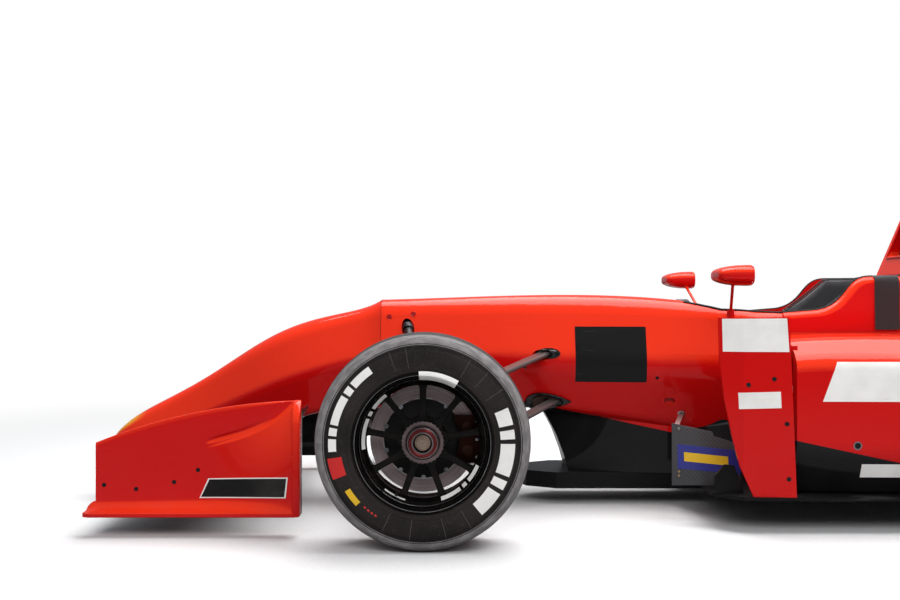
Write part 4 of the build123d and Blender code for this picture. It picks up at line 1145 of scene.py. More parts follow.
@dataclass
class Bodywork:
    """Finishes of the nodes that keep their shape."""

    painted: tuple[str, ...] = ("mirrors", "side_boards", "front_endplates", "engine_cover", "roll_hoop")
    friction: Pair = (0.103, 0.139)

    def dress(self) -> None:
        """Gives every node its finish."""
        finishes: dict[str, Finish] = {name: RED for name in self.painted}
        finishes |= {
            "monocoque": TUB_RED, "nose_cone": NOSE_RED, "sidepod_left": POD_RED, "sidepod_right": POD_RED,
            "floor": CARBON, "turning_vanes": VANE_CARBON, "front_wing": WING_CARBON,
            "front_wing_pylons": WING_CARBON, "rear_wing": WING_CARBON, "rear_beam_wing": WING_CARBON,
            "rear_endplates": WING_CARBON, "headrest": PAD_CLOTH, "seat": SEAT_CARBON, "harness": WEBBING,
            "engine": CAST, "gearbox": DARK_CAST, "rear_crash_box": CARBON, "rain_light": LAMP_RED,
            "front_wishbones": ARM_CARBON, "front_push_rods": STEEL, "rear_wishbones": ARM_CARBON,
            "rear_rods": STEEL, "rear_uprights": REAR_UPRIGHT, "knuckle_left": FRONT_UPRIGHT,
            "knuckle_right": FRONT_UPRIGHT, "tie_rod_left": STEEL, "tie_rod_right": STEEL,
            "steering_rack": STEEL, "steering_wheel": GRIP_SUEDE}
        for end in ("front", "rear"):
            for side in Side:
                centre = middle_of(f"tyre_{end}_{side.word}")
                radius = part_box(f"tyre_{end}_{side.word}")[1].z - centre.z
                finishes[f"rim_{end}_{side.word}"] = WHEEL_BLACK
                finishes[f"tyre_{end}_{side.word}"] = TyreRubber(
                    f"tyre_rubber_{end}", centre.x, centre.z, radius)
                finishes[f"brake_disc_{end}_{side.word}"] = BrakeIron(
                    f"brake_iron_{end}", centre.x, centre.z, *self.friction)
        for name, finish in finishes.items():
            NODES[name].data.materials.clear()
            NODES[name].data.materials.append(finish.make())


# Wheels


@dataclass
class Tyre:
    """One slick tyre with its moulding rings, its wear, the painted sheen on its tread and its plain marks.
    """

    end: str
    side: Side
    radius: float
    section: float
    tread: float
    edge: float
    bead: float = 0.1653
    rise: float = 0.0012
    steps: int = 160
    rib_turns: tuple[int, ...] = (34, 47, 60, 100, 110, 245, 262, 284, 300)
    rib_sweep: float = 0.34
    rib_rise: float = 0.0011

    def __post_init__(self) -> None:
        """Takes the wheel's middle from the frame."""
        self.node = f"tyre_{self.end}_{self.side.word}"
        self.body = f"wheel_{self.end}_{self.side.word}"
        self.middle = middle_of(self.node)
        self.low = (self.bead + 0.0157, self.edge + 0.008)
        self.shoulder = (self.radius - 0.030, self.section - 0.006)
        waist = ((self.low[0] + self.shoulder[0]) / 2, self.section)
        self.flank = circle(self.low, waist, self.shoulder)

    def placed(self, profile: list[Pair]) -> list[Pair]:
        """A profile with its Y in the frame instead of outboard of the tyre's middle."""
        return [(radius, self.middle.y + self.side.value * y) for radius, y in profile]

    def wall(self, radius: float, rise: float = 0.0) -> Pair:
        """The sidewall's point at a radius, pushed out by a rise."""
        x0, y0, size = self.flank
        return radius, y0 + math.sqrt(size * size - (radius - x0) ** 2) + rise

    def half(self) -> list[Pair]:
        """Half of the section from the bead to the middle of the tread, with the moulding rings."""
        rings = (
            (self.bead + 0.0245, 0.0022, 0.0011), (self.radius - 0.0450, 0.0009, 0.0005),
            (self.radius - 0.0335, 0.0008, 0.0006),
        )
        marks = [lerp(self.low[0], self.shoulder[0], i / 18) for i in range(1, 18)]
        for radius, width, _ in rings:
            marks += [radius - width, radius - 0.5 * width, radius + 0.5 * width, radius + width]
        points = [(self.bead, self.edge), (self.bead + 0.0117, self.edge + 0.0034), self.low]
        for mark in sorted(marks):
            rise = sum(height for radius, width, height in rings if abs(mark - radius) < 0.6 * width)
            points.append(self.wall(mark, rise))
        corner = (self.radius - 0.011, self.tread + 0.55 * (self.section - self.tread))
        points += arc(self.shoulder, corner, (self.radius - 0.004, self.tread), 9)
        crown = arc(
            (self.radius - 0.004, self.tread), (self.radius, 0.0), (self.radius - 0.004, -self.tread), 17)
        return points + crown[1:9]

    def mark(self, name: str, inner: float, outer: float, start: float, sweep: float) -> Piece:
        """A plain film on the sidewall.

        Args:
            name: the piece's name.
            inner: its smallest radius.
            outer: its largest radius.
            start: degrees where it starts, from the tail, counter-clockwise as seen from the left.
            sweep: degrees that it covers.

        Returns:
            The film.
        """
        points = self.placed([self.wall(lerp(inner, outer, i / 4)) for i in range(5)])
        film = Bench.turned(name, points, self.middle, 240, start, sweep)
        return Bench.thick(film, self.rise)

    def build(self) -> None:
        """The ring, then its marks."""
        half = self.half()
        section = [*half, *((radius, -y) for radius, y in reversed(half[:-1])), (self.bead, self.edge)]
        ring = Bench.turned(f"{self.node}_rubber", self.placed(section), self.middle, self.steps)
        finish = TyreRubber(f"tyre_rubber_{self.end}", self.middle.x, self.middle.z, self.radius)
        Bench.fit(ring, finish, "tyre_rubber", self.body, 28)
        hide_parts(self.node)
        self.ribs()
        self.marks()

    def ribs(self) -> None:
        """Thin moulded lines across the sidewall, in pairs."""
        low, high = self.bead + 0.0265, self.radius - 0.0345
        points = self.placed([self.wall(lerp(low, high, i / 8), 0.0002) for i in range(9)])
        made = [
            Bench.thick(Bench.turned("rib", points, self.middle, 1080, turn, self.rib_sweep), self.rib_rise)
            for turn in self.rib_turns]
        Bench.group(f"{self.node}_mould_lines", made, MOULD_GREY, "tyre_rubber", self.body)

    def marks(self) -> None:
        """Plain bars in white, one red wedge, a yellow label and red ticks."""
        grow = self.radius - TYRES["front"]["radius"]
        bars = [
            (low + grow, high + grow, start, sweep) for low, high, places in (
                (0.196, 0.232, ((-50, 17), (-30, 6), (-21, 21), (3, 6), (12, 11))),
                (0.216, 0.236, ((125, 15), (142, 5), (149, 19), (170, 5), (177, 8))))
            for start, sweep in places]
        for name, finish, rows in (
            ("white_marks", WHITE_FILM, bars),
            ("red_mark", RED_FILM, [(0.205 + grow, 0.241 + grow, 189, 13)]),
            ("yellow_label", YELLOW_FILM, [(0.2125 + grow, 0.2275 + grow, 211.5, 11.5)]),
            ("red_ticks", RED_FILM, [(0.212, 0.2165, turn, 1.6) for turn in (227, 230, 233, 236)]),
        ):
            pieces = [self.mark("mark", *row) for row in rows]
            Bench.group(f"{self.node}_{name}", pieces, finish, "tyre_rubber", self.body)


@dataclass
class WheelTrim:
    """Hub nut, valve, tape, thin rings and disc pins of one wheel."""

    end: str
    side: Side
    lip: float
    hub_depth: float = 0.040
    disc_depth: float = 0.128
    pin_circle: float = 0.1005
    pins: int = 10
    teeth: int = 30
    wide_arc: tuple[Pair, Pair] = ((0.1468, 0.0050), (0.1545, 0.0181))
    thin_arc: tuple[Pair, Pair] = ((0.1510, 0.0120), (0.1535, 0.0162))
    edge_lines: tuple[tuple[Pair, ...], ...] = (
        ((0.1700, -0.0012), (0.1709, 0.0008), (0.1718, 0.0008), (0.1722, -0.0012), (0.1700, -0.0012)),
        ((0.1584, -0.0238), (0.1590, -0.0226), (0.1600, -0.0214), (0.1606, -0.0236), (0.1584, -0.0238)))

    def __post_init__(self) -> None:
        """Takes the wheel's middle from the frame."""
        self.body = f"wheel_{self.end}_{self.side.word}"
        self.middle = middle_of(f"tyre_{self.end}_{self.side.word}")

    def ring(self, name: str, profile: list[Pair], depth: float, steps: int = 72, start: float = 0.0,
             sweep: float = 360.0) -> Piece:
        """A turned part, with its profile's Y measured outwards from a depth inside the rim's lip."""
        base = self.lip - depth
        points = [(radius, self.side.value * (base + y)) for radius, y in profile]
        return Bench.turned(name, points, self.middle, steps, start, sweep)

    def spot(self, radius: float, turn: float, out: float) -> Vector:
        """A point at a radius and an angle in degrees, at a distance outboard of the middle plane."""
        angle = math.radians(turn)
        return Vector((
            self.middle.x + radius * math.cos(angle), self.side.value * out,
            self.middle.z + radius * math.sin(angle)))

    def fit(self, piece: Piece, finish: Finish, slot: str, angle: float = 35) -> None:
        """Shades and dresses a part of this wheel."""
        Bench.fit(piece, finish, slot, self.body, angle)

    def build(self) -> None:
        """All parts, from the nut outwards."""
        name = f"{self.end}_{self.side.word}"
        self.nut(name)
        self.valve(name)
        self.bands(name)
        self.disc_pins(name)

    def nut(self, name: str) -> None:
        """Toothed steel ring, steel cone with a red ring and bronze cap."""
        ring = self.ring(f"nut_ring_{name}", [
            (0.0432, 0.0101), (0.0530, 0.0101), (0.0530, 0.0122), (0.0518, 0.0134), (0.0500, 0.0134),
            (0.0494, 0.0126), (0.0470, 0.0126), (0.0462, 0.0138), (0.0442, 0.0138), (0.0432, 0.0128),
            (0.0432, 0.0101)], self.hub_depth)
        tooth = Bench.block("tooth", (-0.0014, -0.0016, 0.0515), (0.0014, 0.0016, 0.0545), 0.0004, 1)
        made = [ring]
        for i in range(self.teeth):
            turn = Matrix.Rotation(math.tau * i / self.teeth, 4, "Y")
            shift = Matrix.Translation((
                self.middle.x, self.side.value * (self.lip - self.hub_depth + 0.0116), self.middle.z))
            made.append(Bench.moved(tooth, f"tooth_{i}", shift @ turn))
        Bench.discard(tooth)
        self.fit(Bench.joined(f"nut_ring_{name}", made), NUT_STEEL, "upright_metal")
        made = [
            self.ring(f"nut_cone_{i}", profile, self.hub_depth) for i, profile in enumerate((
                [(0.0352, 0.0142), (0.0428, 0.0142), (0.0424, 0.0160), (0.0396, 0.0252), (0.0400, 0.0266),
                 (0.0392, 0.0296), (0.0380, 0.0308), (0.0362, 0.0312), (0.0352, 0.0302), (0.0352, 0.0142)],
                [(0.0240, 0.0302), (0.0286, 0.0302), (0.0284, 0.0314), (0.0276, 0.0320), (0.0252, 0.0320),
                 (0.0242, 0.0314), (0.0240, 0.0302)]))]
        self.fit(Bench.joined(f"nut_cone_{name}", made), NUT_STEEL, "upright_metal")
        red = self.ring(f"nut_red_{name}", [
            (0.0287, 0.0302), (0.0350, 0.0302), (0.0349, 0.0316), (0.0338, 0.0325), (0.0298, 0.0325),
            (0.0289, 0.0316), (0.0287, 0.0302)], self.hub_depth)
        self.fit(red, RED_ANODISED, "upright_metal")
        cap = self.ring(
            f"nut_cap_{name}",
            [
                (0.0, 0.0082), (0.0205, 0.0082), (0.0205, 0.0196), (0.0196, 0.0208), (0.0164, 0.0212),
                (0.0158, 0.0202), (0.0152, 0.0202), (0.0146, 0.0220), (0.0112, 0.0224), (0.0106, 0.0214),
                (0.0100, 0.0214), (0.0094, 0.0226), (0.0052, 0.0228), (0.0046, 0.0214), (0.0026, 0.0214),
                (0.0020, 0.0196), (0.0, 0.0192)],
            self.hub_depth, 56)
        self.fit(cap, BRONZE, "upright_metal", 25)

    def valve(self, name: str) -> None:
        """Valve stem with its cap, near the rim's well."""
        foot, tip = self.spot(0.151, 243, self.lip - 0.058), self.spot(0.147, 243, self.lip - 0.030)
        stem = Bench.rod(f"valve_{name}", foot, tip, 0.0036, 20, 0.0006)
        run = (tip - foot).normalized()
        cap = Bench.rod("cap", tip, tip + run * 0.009, 0.0044, 8, 0.0008)
        self.fit(Bench.joined(f"valve_{name}", [stem, cap]), DARK_STEEL, "wheel_black")

    def bands(self, name: str) -> None:
        """White tape over the lip and thin white arcs on the rim's cone."""
        tape = self.ring(f"rim_tape_{name}", [
            (0.1592, -0.0226), (0.1634, -0.0112), (0.1688, -0.0010), (0.1712, 0.0014), (0.1766, 0.0016),
            (0.1815, -0.0004)], 0.0, 240, 60, 33)
        Bench.thick(tape, 0.0012)
        self.fit(tape, WHITE_FILM, "wheel_black")
        arcs = []
        for start, sweep in ((128, 18), (149, 5), (157, 30), (231, 22), (-72, 21), (-48, 5), (-40, 17)):
            strip = self.ring(
                "arc", list(self.wide_arc if start < 200 else self.thin_arc), 0.0500, 240, start, sweep)
            arcs.append(Bench.thick(strip, 0.0010))
        self.fit(Bench.joined(f"rim_marks_{name}", arcs), WHITE_FILM, "wheel_black")
        lines = [self.ring("line", list(profile), 0.0, 120) for profile in self.edge_lines]
        self.fit(Bench.joined(f"rim_edges_{name}", lines), STEEL, "wheel_black")

    def disc_pins(self, name: str) -> None:
        """Drive pins between the bell and the friction ring, and the ring's inner steps."""
        out = self.lip - self.disc_depth
        made = []
        for i in range(self.pins):
            turn = 360 * (i + 0.5) / self.pins
            foot, neck, tip = (
                self.spot(self.pin_circle, turn, out + rise) for rise in (-0.004, 0.003, 0.0052))
            made.append(Bench.rod("pin", foot, neck, 0.0060, 20, 0.0008))
            made.append(Bench.rod("head", neck, tip, 0.0034, 6, 0.0006))
        for i in range(self.pins):
            made.append(self.ring(f"step_{i}", [
                (0.1035, -0.0010), (0.1035, 0.0009), (0.1052, 0.0009), (0.1052, -0.0010), (0.1035, -0.0010)],
                self.disc_depth, 180, 360 * i / self.pins + 5, 26))
            Bench.capped(made[-1])
        self.fit(Bench.joined(f"disc_pins_{name}", made), STEEL, "brake_iron")


@dataclass
class Rim:
    """Nine spoke rim with its barrel and hub, in place of the plain one."""

    end: str
    side: Side
    lip: float
    width: float
    seat: float = 0.165
    flange: float = 0.176
    wall: float = 0.006
    spokes: int = 9
    hub_depth: float = 0.040
    hub_back: float = 0.078
    hub_radius: float = 0.057
    bore: float = 0.0303

    def build(self) -> None:
        """Barrel, hub and spokes as one casting."""
        middle = middle_of(f"tyre_{self.end}_{self.side.word}")
        lip, back, seat, flange, wall = self.lip, self.lip - self.width, self.seat, self.flange, self.wall
        well = seat - 0.015
        barrel = [
            (flange, lip - 0.0012), (flange, lip - 0.006), (seat, lip - 0.010), (seat, lip - 0.036),
            (well, lip - 0.048), (well, lip - 0.078), (seat - 0.002, lip - 0.092), (seat, back + 0.010),
            (flange, back + 0.006), (flange, back), (flange - wall, back), (seat - wall, back + 0.014),
            (seat - wall, lip - 0.090), (well - wall, lip - 0.076), (well - wall, lip - 0.054),
            (well - wall + 0.001, lip - 0.050), (well - wall + 0.007, lip - 0.0385),
            (seat - wall - 0.0025, lip - 0.0350), (seat - wall, lip - 0.0320),
            (seat - wall + 0.001, lip - 0.0240), (seat - 0.001, lip - 0.0130), (flange - wall, lip - 0.0030),
            (flange - 0.0045, lip - 0.0004), (flange - 0.0012, lip), (flange, lip - 0.0012)]
        face = lip - self.hub_depth
        hub = [
            (self.bore, lip - self.hub_back), (self.hub_radius, lip - self.hub_back),
            (self.hub_radius, face - 0.008), (self.hub_radius - 0.002, face - 0.001),
            (self.hub_radius - 0.0035, face), (0.052, face), (0.052, face + 0.009), (0.051, face + 0.010),
            (0.034, face + 0.014), (0.034, face + 0.0300), (0.023, face + 0.0300), (0.023, face + 0.008),
            (0.0, face + 0.008), (0.0, face), (self.bore, face), (self.bore, lip - self.hub_back)]
        made = [
            Bench.turned(name, [(r, self.side.value * y) for r, y in profile], middle, steps)
            for name, profile, steps in (("barrel", barrel, 128), ("hub", hub, 72))
        ]
        spoke = self.spoke()
        for i in range(self.spokes):
            turn = Matrix.Rotation(math.tau * i / self.spokes, 4, "Y")
            made.append(Bench.moved(spoke, f"spoke_{i}", Matrix.Translation(middle.xz.to_3d().xzy) @ turn))
        Bench.discard(spoke)
        rim = Bench.joined(f"rim_{self.end}_{self.side.word}_casting", made)
        Bench.fit(rim, WHEEL_BLACK, "wheel_black", f"wheel_{self.end}_{self.side.word}", 32)
        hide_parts(f"rim_{self.end}_{self.side.word}")

    def spoke(self) -> Piece:
        """The upright spoke about the axle's line: flared at the hub and the rim, with a waist between."""
        half = (
            (0.048, 0.0235), (0.0545, 0.0215), (0.0600, 0.0150), (0.0680, 0.0108), (0.0780, 0.0094),
            (0.1000, 0.0088), (0.1240, 0.0086), (0.1360, 0.0094), (0.1420, 0.0120), (0.1475, 0.0175))
        out = self.side.value * (self.lip - self.hub_depth - 0.006)
        outline = [(-width, out, radius) for radius, width in half]
        outline += [(width, out, radius) for radius, width in reversed(half)]
        spoke = Bench.plate("spoke", outline, (0.0, -self.side.value * 0.030, 0.0))
        for vertex in spoke.data.vertices:
            radius = vertex.co.z
            sunk = 0.0085 * ease((radius - 0.056) / 0.030) + 0.003 * ease((radius - 0.09) / 0.05)
            vertex.co.y -= self.side.value * sunk
            if abs(vertex.co.y) < abs(out) - 0.028:
                vertex.co.x *= 0.62
        return Bench.bevelled(spoke, 0.0028, 3, 40)


# Front wing


@dataclass
class FrontEndplate:
    """Moulded endplate of one side: its bulge, foot, rear flange, blank panel and fasteners."""

    side: Side
    front: float = -0.893
    rear: float = -0.343
    inner: float = 0.640
    face: float = 0.652
    floor: float = 0.066
    rows: int = 46
    swell: float = 0.045
    swell_start: float = -0.600
    flange: tuple[Pair, ...] = (
        (0.640, 0.0545), (0.7025, 0.0545), (0.7025, 0.100), (0.7005, 0.305), (0.691, 0.334), (0.675, 0.352),
        (0.657, 0.3635), (0.640, 0.3660))

    def y(self, out: float) -> float:
        """Y of a distance from the car's middle."""
        return self.side.value * out

    def top(self, x: float) -> float:
        """Height of the top edge."""
        x0, z0, size = circle((self.front, 0.250), (-0.610, 0.334), (self.rear, 0.364))
        return z0 + math.sqrt(size * size - (x - x0) ** 2)

    @staticmethod
    def crest(x: float) -> float:
        """Height of the line where the moulding starts to stand out."""
        run = x + 0.562
        return 0.2415 + 0.27 * run + (5.7 * run ** 3 if run > 0 else 0.0)

    def bulge(self, x: float, z: float) -> float:
        """How far the face stands out: a crest that rises and grows aft, with a recess above it."""
        share = min(max((x - self.swell_start) / (self.rear - self.swell_start), 0.0), 1.0)
        off = z - self.crest(x)
        if off > 0:
            form = 0.34 * (1 - ease(off / (0.006 + 0.008 * share)))
        else:
            form = 0.34 + 0.66 * (1 - (1 - min(1.0, -off / 0.17)) ** 1.7)
        hollow = 1 - ease(abs(off - 0.020) / 0.010)
        recess = -0.006 * ease(share * 7) * (1 - ease(share * 2.0 - 0.6)) * hollow
        return self.swell * share ** 1.15 * form + recess

    def section(self, x: float, around: float) -> Pair:
        """Y and Z of the closed section at X, by a share of the way round it."""
        crown = self.top(x)
        share = (x - self.front) / (self.rear - self.front)
        tall, wide = lerp(0.024, 0.036, share), lerp(0.036, 0.046, share)
        ring = [(self.inner, 0.0545), (self.inner, crown - 0.003), (self.inner + 0.0012, crown - 0.0006)]
        ring += [(0.6435, crown), (0.6485, crown)]
        low = self.floor + tall
        high = min(self.crest(x) + 0.030, crown - 0.0040)
        sill = min(self.crest(x) - 0.004, high - 0.0040)
        for i in range(self.rows):
            if i < 10:
                z = lerp(crown - 0.0012, high, i / 10)
            elif i < 28:
                z = lerp(high, sill, (i - 10) / 18)
            else:
                z = lerp(sill, low, (i - 28) / (self.rows - 29))
            edge = 0.0014 if i == 0 else 0.0
            ring.append((self.face - edge + self.bulge(x, z), z))
        foot = self.face + self.bulge(x, low)
        wide = min(wide, 0.6995 - foot)
        for i in range(1, 11):
            turn = math.pi / 2 * i / 10
            ring.append((foot + wide * (1 - math.cos(turn)), self.floor + tall * (1 - math.sin(turn))))
        ring += [
            (0.7000, self.floor), (0.7018, 0.0645), (0.7020, 0.0565), (0.7005, 0.0545), (self.inner, 0.0545)]
        return ring[round(around * (len(ring) - 1))]

    def build(self) -> None:
        """The moulding and what is fixed to it."""
        word = self.side.word
        skin = Bench.surface(
            f"front_endplate_{word}", 150, self.rows + 19,
            lambda u, v: self.at_share(lerp(self.front, self.rear - 0.004, u), v))
        Bench.edit(skin)
        bpy.ops.mesh.remove_doubles(threshold=1e-6)
        Bench.closed(skin)
        foot = Bench.surface("foot", 14, 19, lambda u, v: self.at_toe(lerp(-0.9175, -0.8925, u), v))
        Bench.closed(foot)
        corners = [at(-0.3550, self.y(y), z) for y, z in self.flange]
        flange = Bench.plate("flange", corners, (0.0215, 0, 0), 0.0055)
        plate = Bench.joined(f"front_endplate_{word}", [skin, foot, flange])
        Bench.fit(plate, PLATE_RED, "red_paint", angle=32)
        if self.side is Side.LEFT:
            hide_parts("front_endplates")
        self.panel()
        self.fasteners()

    def at_share(self, x: float, around: float) -> Vector:
        """The section's point in the frame."""
        y, z = self.section(x, around)
        return at(x, self.y(y), z)

    def at_toe(self, x: float, around: float) -> Vector:
        """A place on the foot's rounded front end, by a share of the way round its section."""
        grow = math.sqrt(max(0.0, min(1.0, (x + 0.9180) / 0.018)))
        tall, wide, edge = 0.024 * grow, 0.036, 0.7018 - 0.012 * (1 - grow)
        ring = [(self.inner, 0.0545), (self.inner, self.floor + tall)]
        for i in range(13):
            turn = math.pi / 2 * i / 12
            ring.append((self.face + wide * (1 - math.cos(turn)), self.floor + tall * (1 - math.sin(turn))))
        ring += [
            (edge - 0.002, self.floor), (edge, self.floor - 0.0015), (edge, 0.0565), (edge - 0.0015, 0.0545)]
        y, z = (ring + ring[:1])[round(around * len(ring))]
        return at(x, self.y(min(y, edge)), z)

    def panel(self) -> None:
        """Blank black panel with a pale edge, low at the rear."""
        corners = ((-0.611, 0.0995), (-0.587, 0.153), (-0.366, 0.161), (-0.372, 0.105))
        centre = (sum(x for x, _ in corners) / 4, sum(z for _, z in corners) / 4)
        for name, share, start, finish in (
            ("edge", 1.0, 0.0, WHITE_FILM), ("panel", 0.965, 0.0004, BLACK_FILM),
        ):
            low_front, high_front, high_rear, low_rear = (
                (lerp(centre[0], x, share), lerp(centre[1], z, share if share == 1.0 else 0.89))
                for x, z in corners)

            def shape(u: float, v: float) -> Vector:
                """A place on the film, just over the moulding."""
                x = lerp(lerp(low_front[0], low_rear[0], u), lerp(high_front[0], high_rear[0], u), v)
                z = lerp(lerp(low_front[1], low_rear[1], u), lerp(high_front[1], high_rear[1], u), v)
                return at(x, self.y(self.face + self.bulge(x, z) + 0.0006 + start), z)

            plate = Bench.surface(f"endplate_{name}_{self.side.word}", 36, 8, shape)
            Bench.thick(plate, 0.0010)
            Bench.fit(plate, finish, "dark_carbon")

    def fasteners(self) -> None:
        """Dark flush screws that hold the wing's ends."""
        made = []
        for i, (x, z) in enumerate(((-0.870, 0.135), (-0.783, 0.124), (-0.680, 0.143), (-0.615, 0.1756))):
            start, end = at(x, self.y(self.face - 0.002), z), at(x, self.y(self.face + 0.0012), z)
            made.append(Bench.rod(f"screw_{i}", start, end, 0.0058, 24, 0.0006))
            made.append(
                Bench.rod(f"socket_{i}", end, at(x, self.y(self.face + 0.0018), z), 0.0030, 6, 0.0003))
        screws = Bench.joined(f"endplate_screws_{self.side.word}", made)
        Bench.fit(screws, DARK_STEEL, "arm_black")


# Cockpit


@dataclass
class Headrest:
    """Padded horseshoe round the head, with piped edges."""

    voxel: float = 0.005
    shrink: float = 0.0035
    cap: float = 0.006
    piping: float = 0.0022

    def build(self) -> None:
        """Pulls the plain pad in, fills it and sews its piping on."""
        core = Bench.copy_of(NODES["headrest"], "headrest_core")
        Bench.edit(core)
        bpy.ops.mesh.normals_make_consistent(inside=False)
        Bench.apply(core, "DISPLACE", strength=-self.shrink, mid_level=0.0)
        self.pipe(core)
        Bench.apply(core, "REMESH", mode="VOXEL", voxel_size=self.voxel)
        self.fill(core)
        Bench.apply(core, "SMOOTH", factor=0.6, iterations=8)
        pad = Bench.copy_of(core, "headrest_pad")
        Bench.discard(core)
        Bench.fit(pad, PAD_CLOTH, "pad_foam", angle=60)
        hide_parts("headrest")

    def fill(self, core: Piece) -> None:
        """Blows the cover up a little with a cloth simulation, and limits how far it swells."""
        rest = [vertex.co.copy() for vertex in core.data.vertices]
        Bench.hold(core)
        modifier = core.modifiers.new("filling", "CLOTH")
        modifier.settings.use_pressure = True
        modifier.settings.uniform_pressure_force = 4.0
        modifier.settings.effector_weights.gravity = 0.0
        for step in range(1, 21):
            bpy.context.scene.frame_set(step)
        bpy.ops.object.modifier_apply(modifier=modifier.name)
        bpy.context.scene.frame_set(1)
        for vertex, start in zip(core.data.vertices, rest):
            move = vertex.co - start
            if move.length > self.cap:
                vertex.co = start + move.normalized() * self.cap

    def pipe(self, core: Piece) -> None:
        """Piping along the pad's upper edges."""
        cord = Bench.copy_of(core, "headrest_piping")
        Bench.edit(cord)
        bpy.ops.mesh.select_mode(type="EDGE")
        bpy.ops.mesh.select_all(action="DESELECT")
        bpy.ops.mesh.edges_select_sharp(sharpness=math.radians(50))
        bpy.ops.mesh.select_all(action="INVERT")
        bpy.ops.mesh.delete(type="EDGE_FACE")
        bpy.ops.object.mode_set(mode="OBJECT")
        low = min(vertex.co.z for vertex in cord.data.vertices) + 0.012
        for vertex in cord.data.vertices:
            vertex.select = vertex.co.z < low
        for edge in cord.data.edges:
            edge.select = False
        bpy.ops.object.mode_set(mode="EDIT")
        bpy.ops.mesh.select_mode(type="VERT")
        bpy.ops.object.mode_set(mode="OBJECT")
        for vertex in cord.data.vertices:
            vertex.select = vertex.co.z < low
        bpy.ops.object.mode_set(mode="EDIT")
        bpy.ops.mesh.delete(type="VERT")
        Bench.clear()
        Bench.hold(cord)
        bpy.ops.object.convert(target="CURVE")
        cord.data.bevel_depth = self.piping
        cord.data.bevel_resolution = 2
        bpy.ops.object.convert(target="MESH")
        cord = bpy.context.object
        Bench.fit(cord, GRIP_SUEDE, "pad_foam", angle=60)


@dataclass
class Belts:
    """Shoulder and lap belts on the seat with their buckle, and the strap over the cockpit's left side."""

    width: float = 0.070
    lap_width: float = 0.046
    strap_width: float = 0.074
    thick: float = 0.0024
    seat: tuple[Pair, ...] = ((1.130, 0.158), (1.225, 0.205), (1.300, 0.330), (1.384, 0.545))
    buckle: Point = (1.150, 0.0, 0.196)

    def seat_z(self, x: float) -> float:
        """Height of the seat's surface."""
        for (x0, z0), (x1, z1) in zip(self.seat, self.seat[1:]):
            if x <= x1:
                return lerp(z0, z1, (x - x0) / (x1 - x0))
        return self.seat[-1][1]

    def strap(
        self, name: str, points: list[Point], across: list[Point], width: float,
    ) -> Piece:
        """A belt along a line.

        Args:
            name: the piece's name.
            points: the belt's middle line, in the frame.
            across: direction over the belt's width at its start and at its end.
            width: the belt's width.

        Returns:
            The belt.
        """
        def shape(u: float, v: float) -> Vector:
            """A place on the belt."""
            way = Vector(across[0]).lerp(Vector(across[1]), v).normalized()
            ahead = (follow(points, v + 0.01) - follow(points, v - 0.01)).normalized()
            up = ahead.cross(way).normalized()
            wave = 0.0012 * math.sin(v * 17 + 2.0 * u) * math.sin(math.pi * v)
            return follow(points, v) + way * (u - 0.5) * width + up * wave

        belt = Bench.surface(name, 12, 90, shape)
        Bench.thick(belt, self.thick)
        Bench.fit(belt, WEBBING, "belt_webbing", angle=50)
        length_of(points)
        return belt

    def build(self) -> None:
        """Every belt, then the buckle."""
        made = []
        for side in Side:
            y = side.value
            rows = [(1.398, 0.060, 0.5555), (1.3835, 0.060, 0.5565), (1.3740, 0.060, 0.5360)]
            rows += [(x - 0.0045, 0.060 - 0.030 * ease((1.30 - x) / 0.13), self.seat_z(x) + 0.0035)
                     for x in (1.350, 1.320, 1.290, 1.262, 1.236)]
            rows += [(1.205, 0.034, 0.2080), (1.180, 0.026, 0.1985)]
            made.append(self.strap(
                f"shoulder_belt_{side.word}", [at(x, y * w, z) for x, w, z in rows],
                [Axis.Y.value, Axis.Y.value], self.width))
            lap = [at(x, y * w, z) for x, w, z in (
                (1.245, 0.160, 0.262), (1.222, 0.148, 0.232), (1.190, 0.115, 0.199), (1.168, 0.075, 0.189),
                (1.155, 0.038, 0.190))]
            made.append(
                self.strap(
                    f"lap_belt_{side.word}", lap, [(0.75, 0.0, 0.62), (0.95, 0.0, 0.25)], self.lap_width))
        side_strap = [at(1.389, y, z) for y, z in (
            (-0.186, 0.7106), (-0.215, 0.7110), (-0.243, 0.7112), (-0.258, 0.7072), (-0.2675, 0.6960),
            (-0.2700, 0.6780), (-0.2698, 0.6300), (-0.2715, 0.5850), (-0.2745, 0.5480))]
        across = [Axis.X.value, Axis.X.value]
        over = self.strap("side_strap", side_strap, across, self.strap_width)
        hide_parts("harness")
        self.lock()

    def lock(self) -> None:
        """Round buckle with its turning lever, and the belts' tongues."""
        x, y, z = self.buckle
        low, high = at(x, y, z - 0.012), at(x - 0.006, y, z + 0.012)
        body = Bench.rod("belt_buckle", low, high, 0.030, 40, 0.003)
        knob = Bench.rod("knob", high, high + Vector((-0.002, 0, 0.007)), 0.019, 6, 0.002)
        tongues = [
            Bench.block(f"tongue_{i}", at(x + dx - 0.012, dy - 0.012, z - 0.006),
                        at(x + dx + 0.012, dy + 0.012, z - 0.0035), 0.0008)
            for i, (dx, dy) in enumerate(((0.026, 0.022), (0.026, -0.022), (0.006, 0.036), (0.006, -0.036)))
        ]
        Bench.group("belt_buckle", [body, *tongues], STEEL, "rod_metal")
        Bench.fit(knob, RED_ANODISED, "rod_metal")


# Nose, tub and what is fixed on them


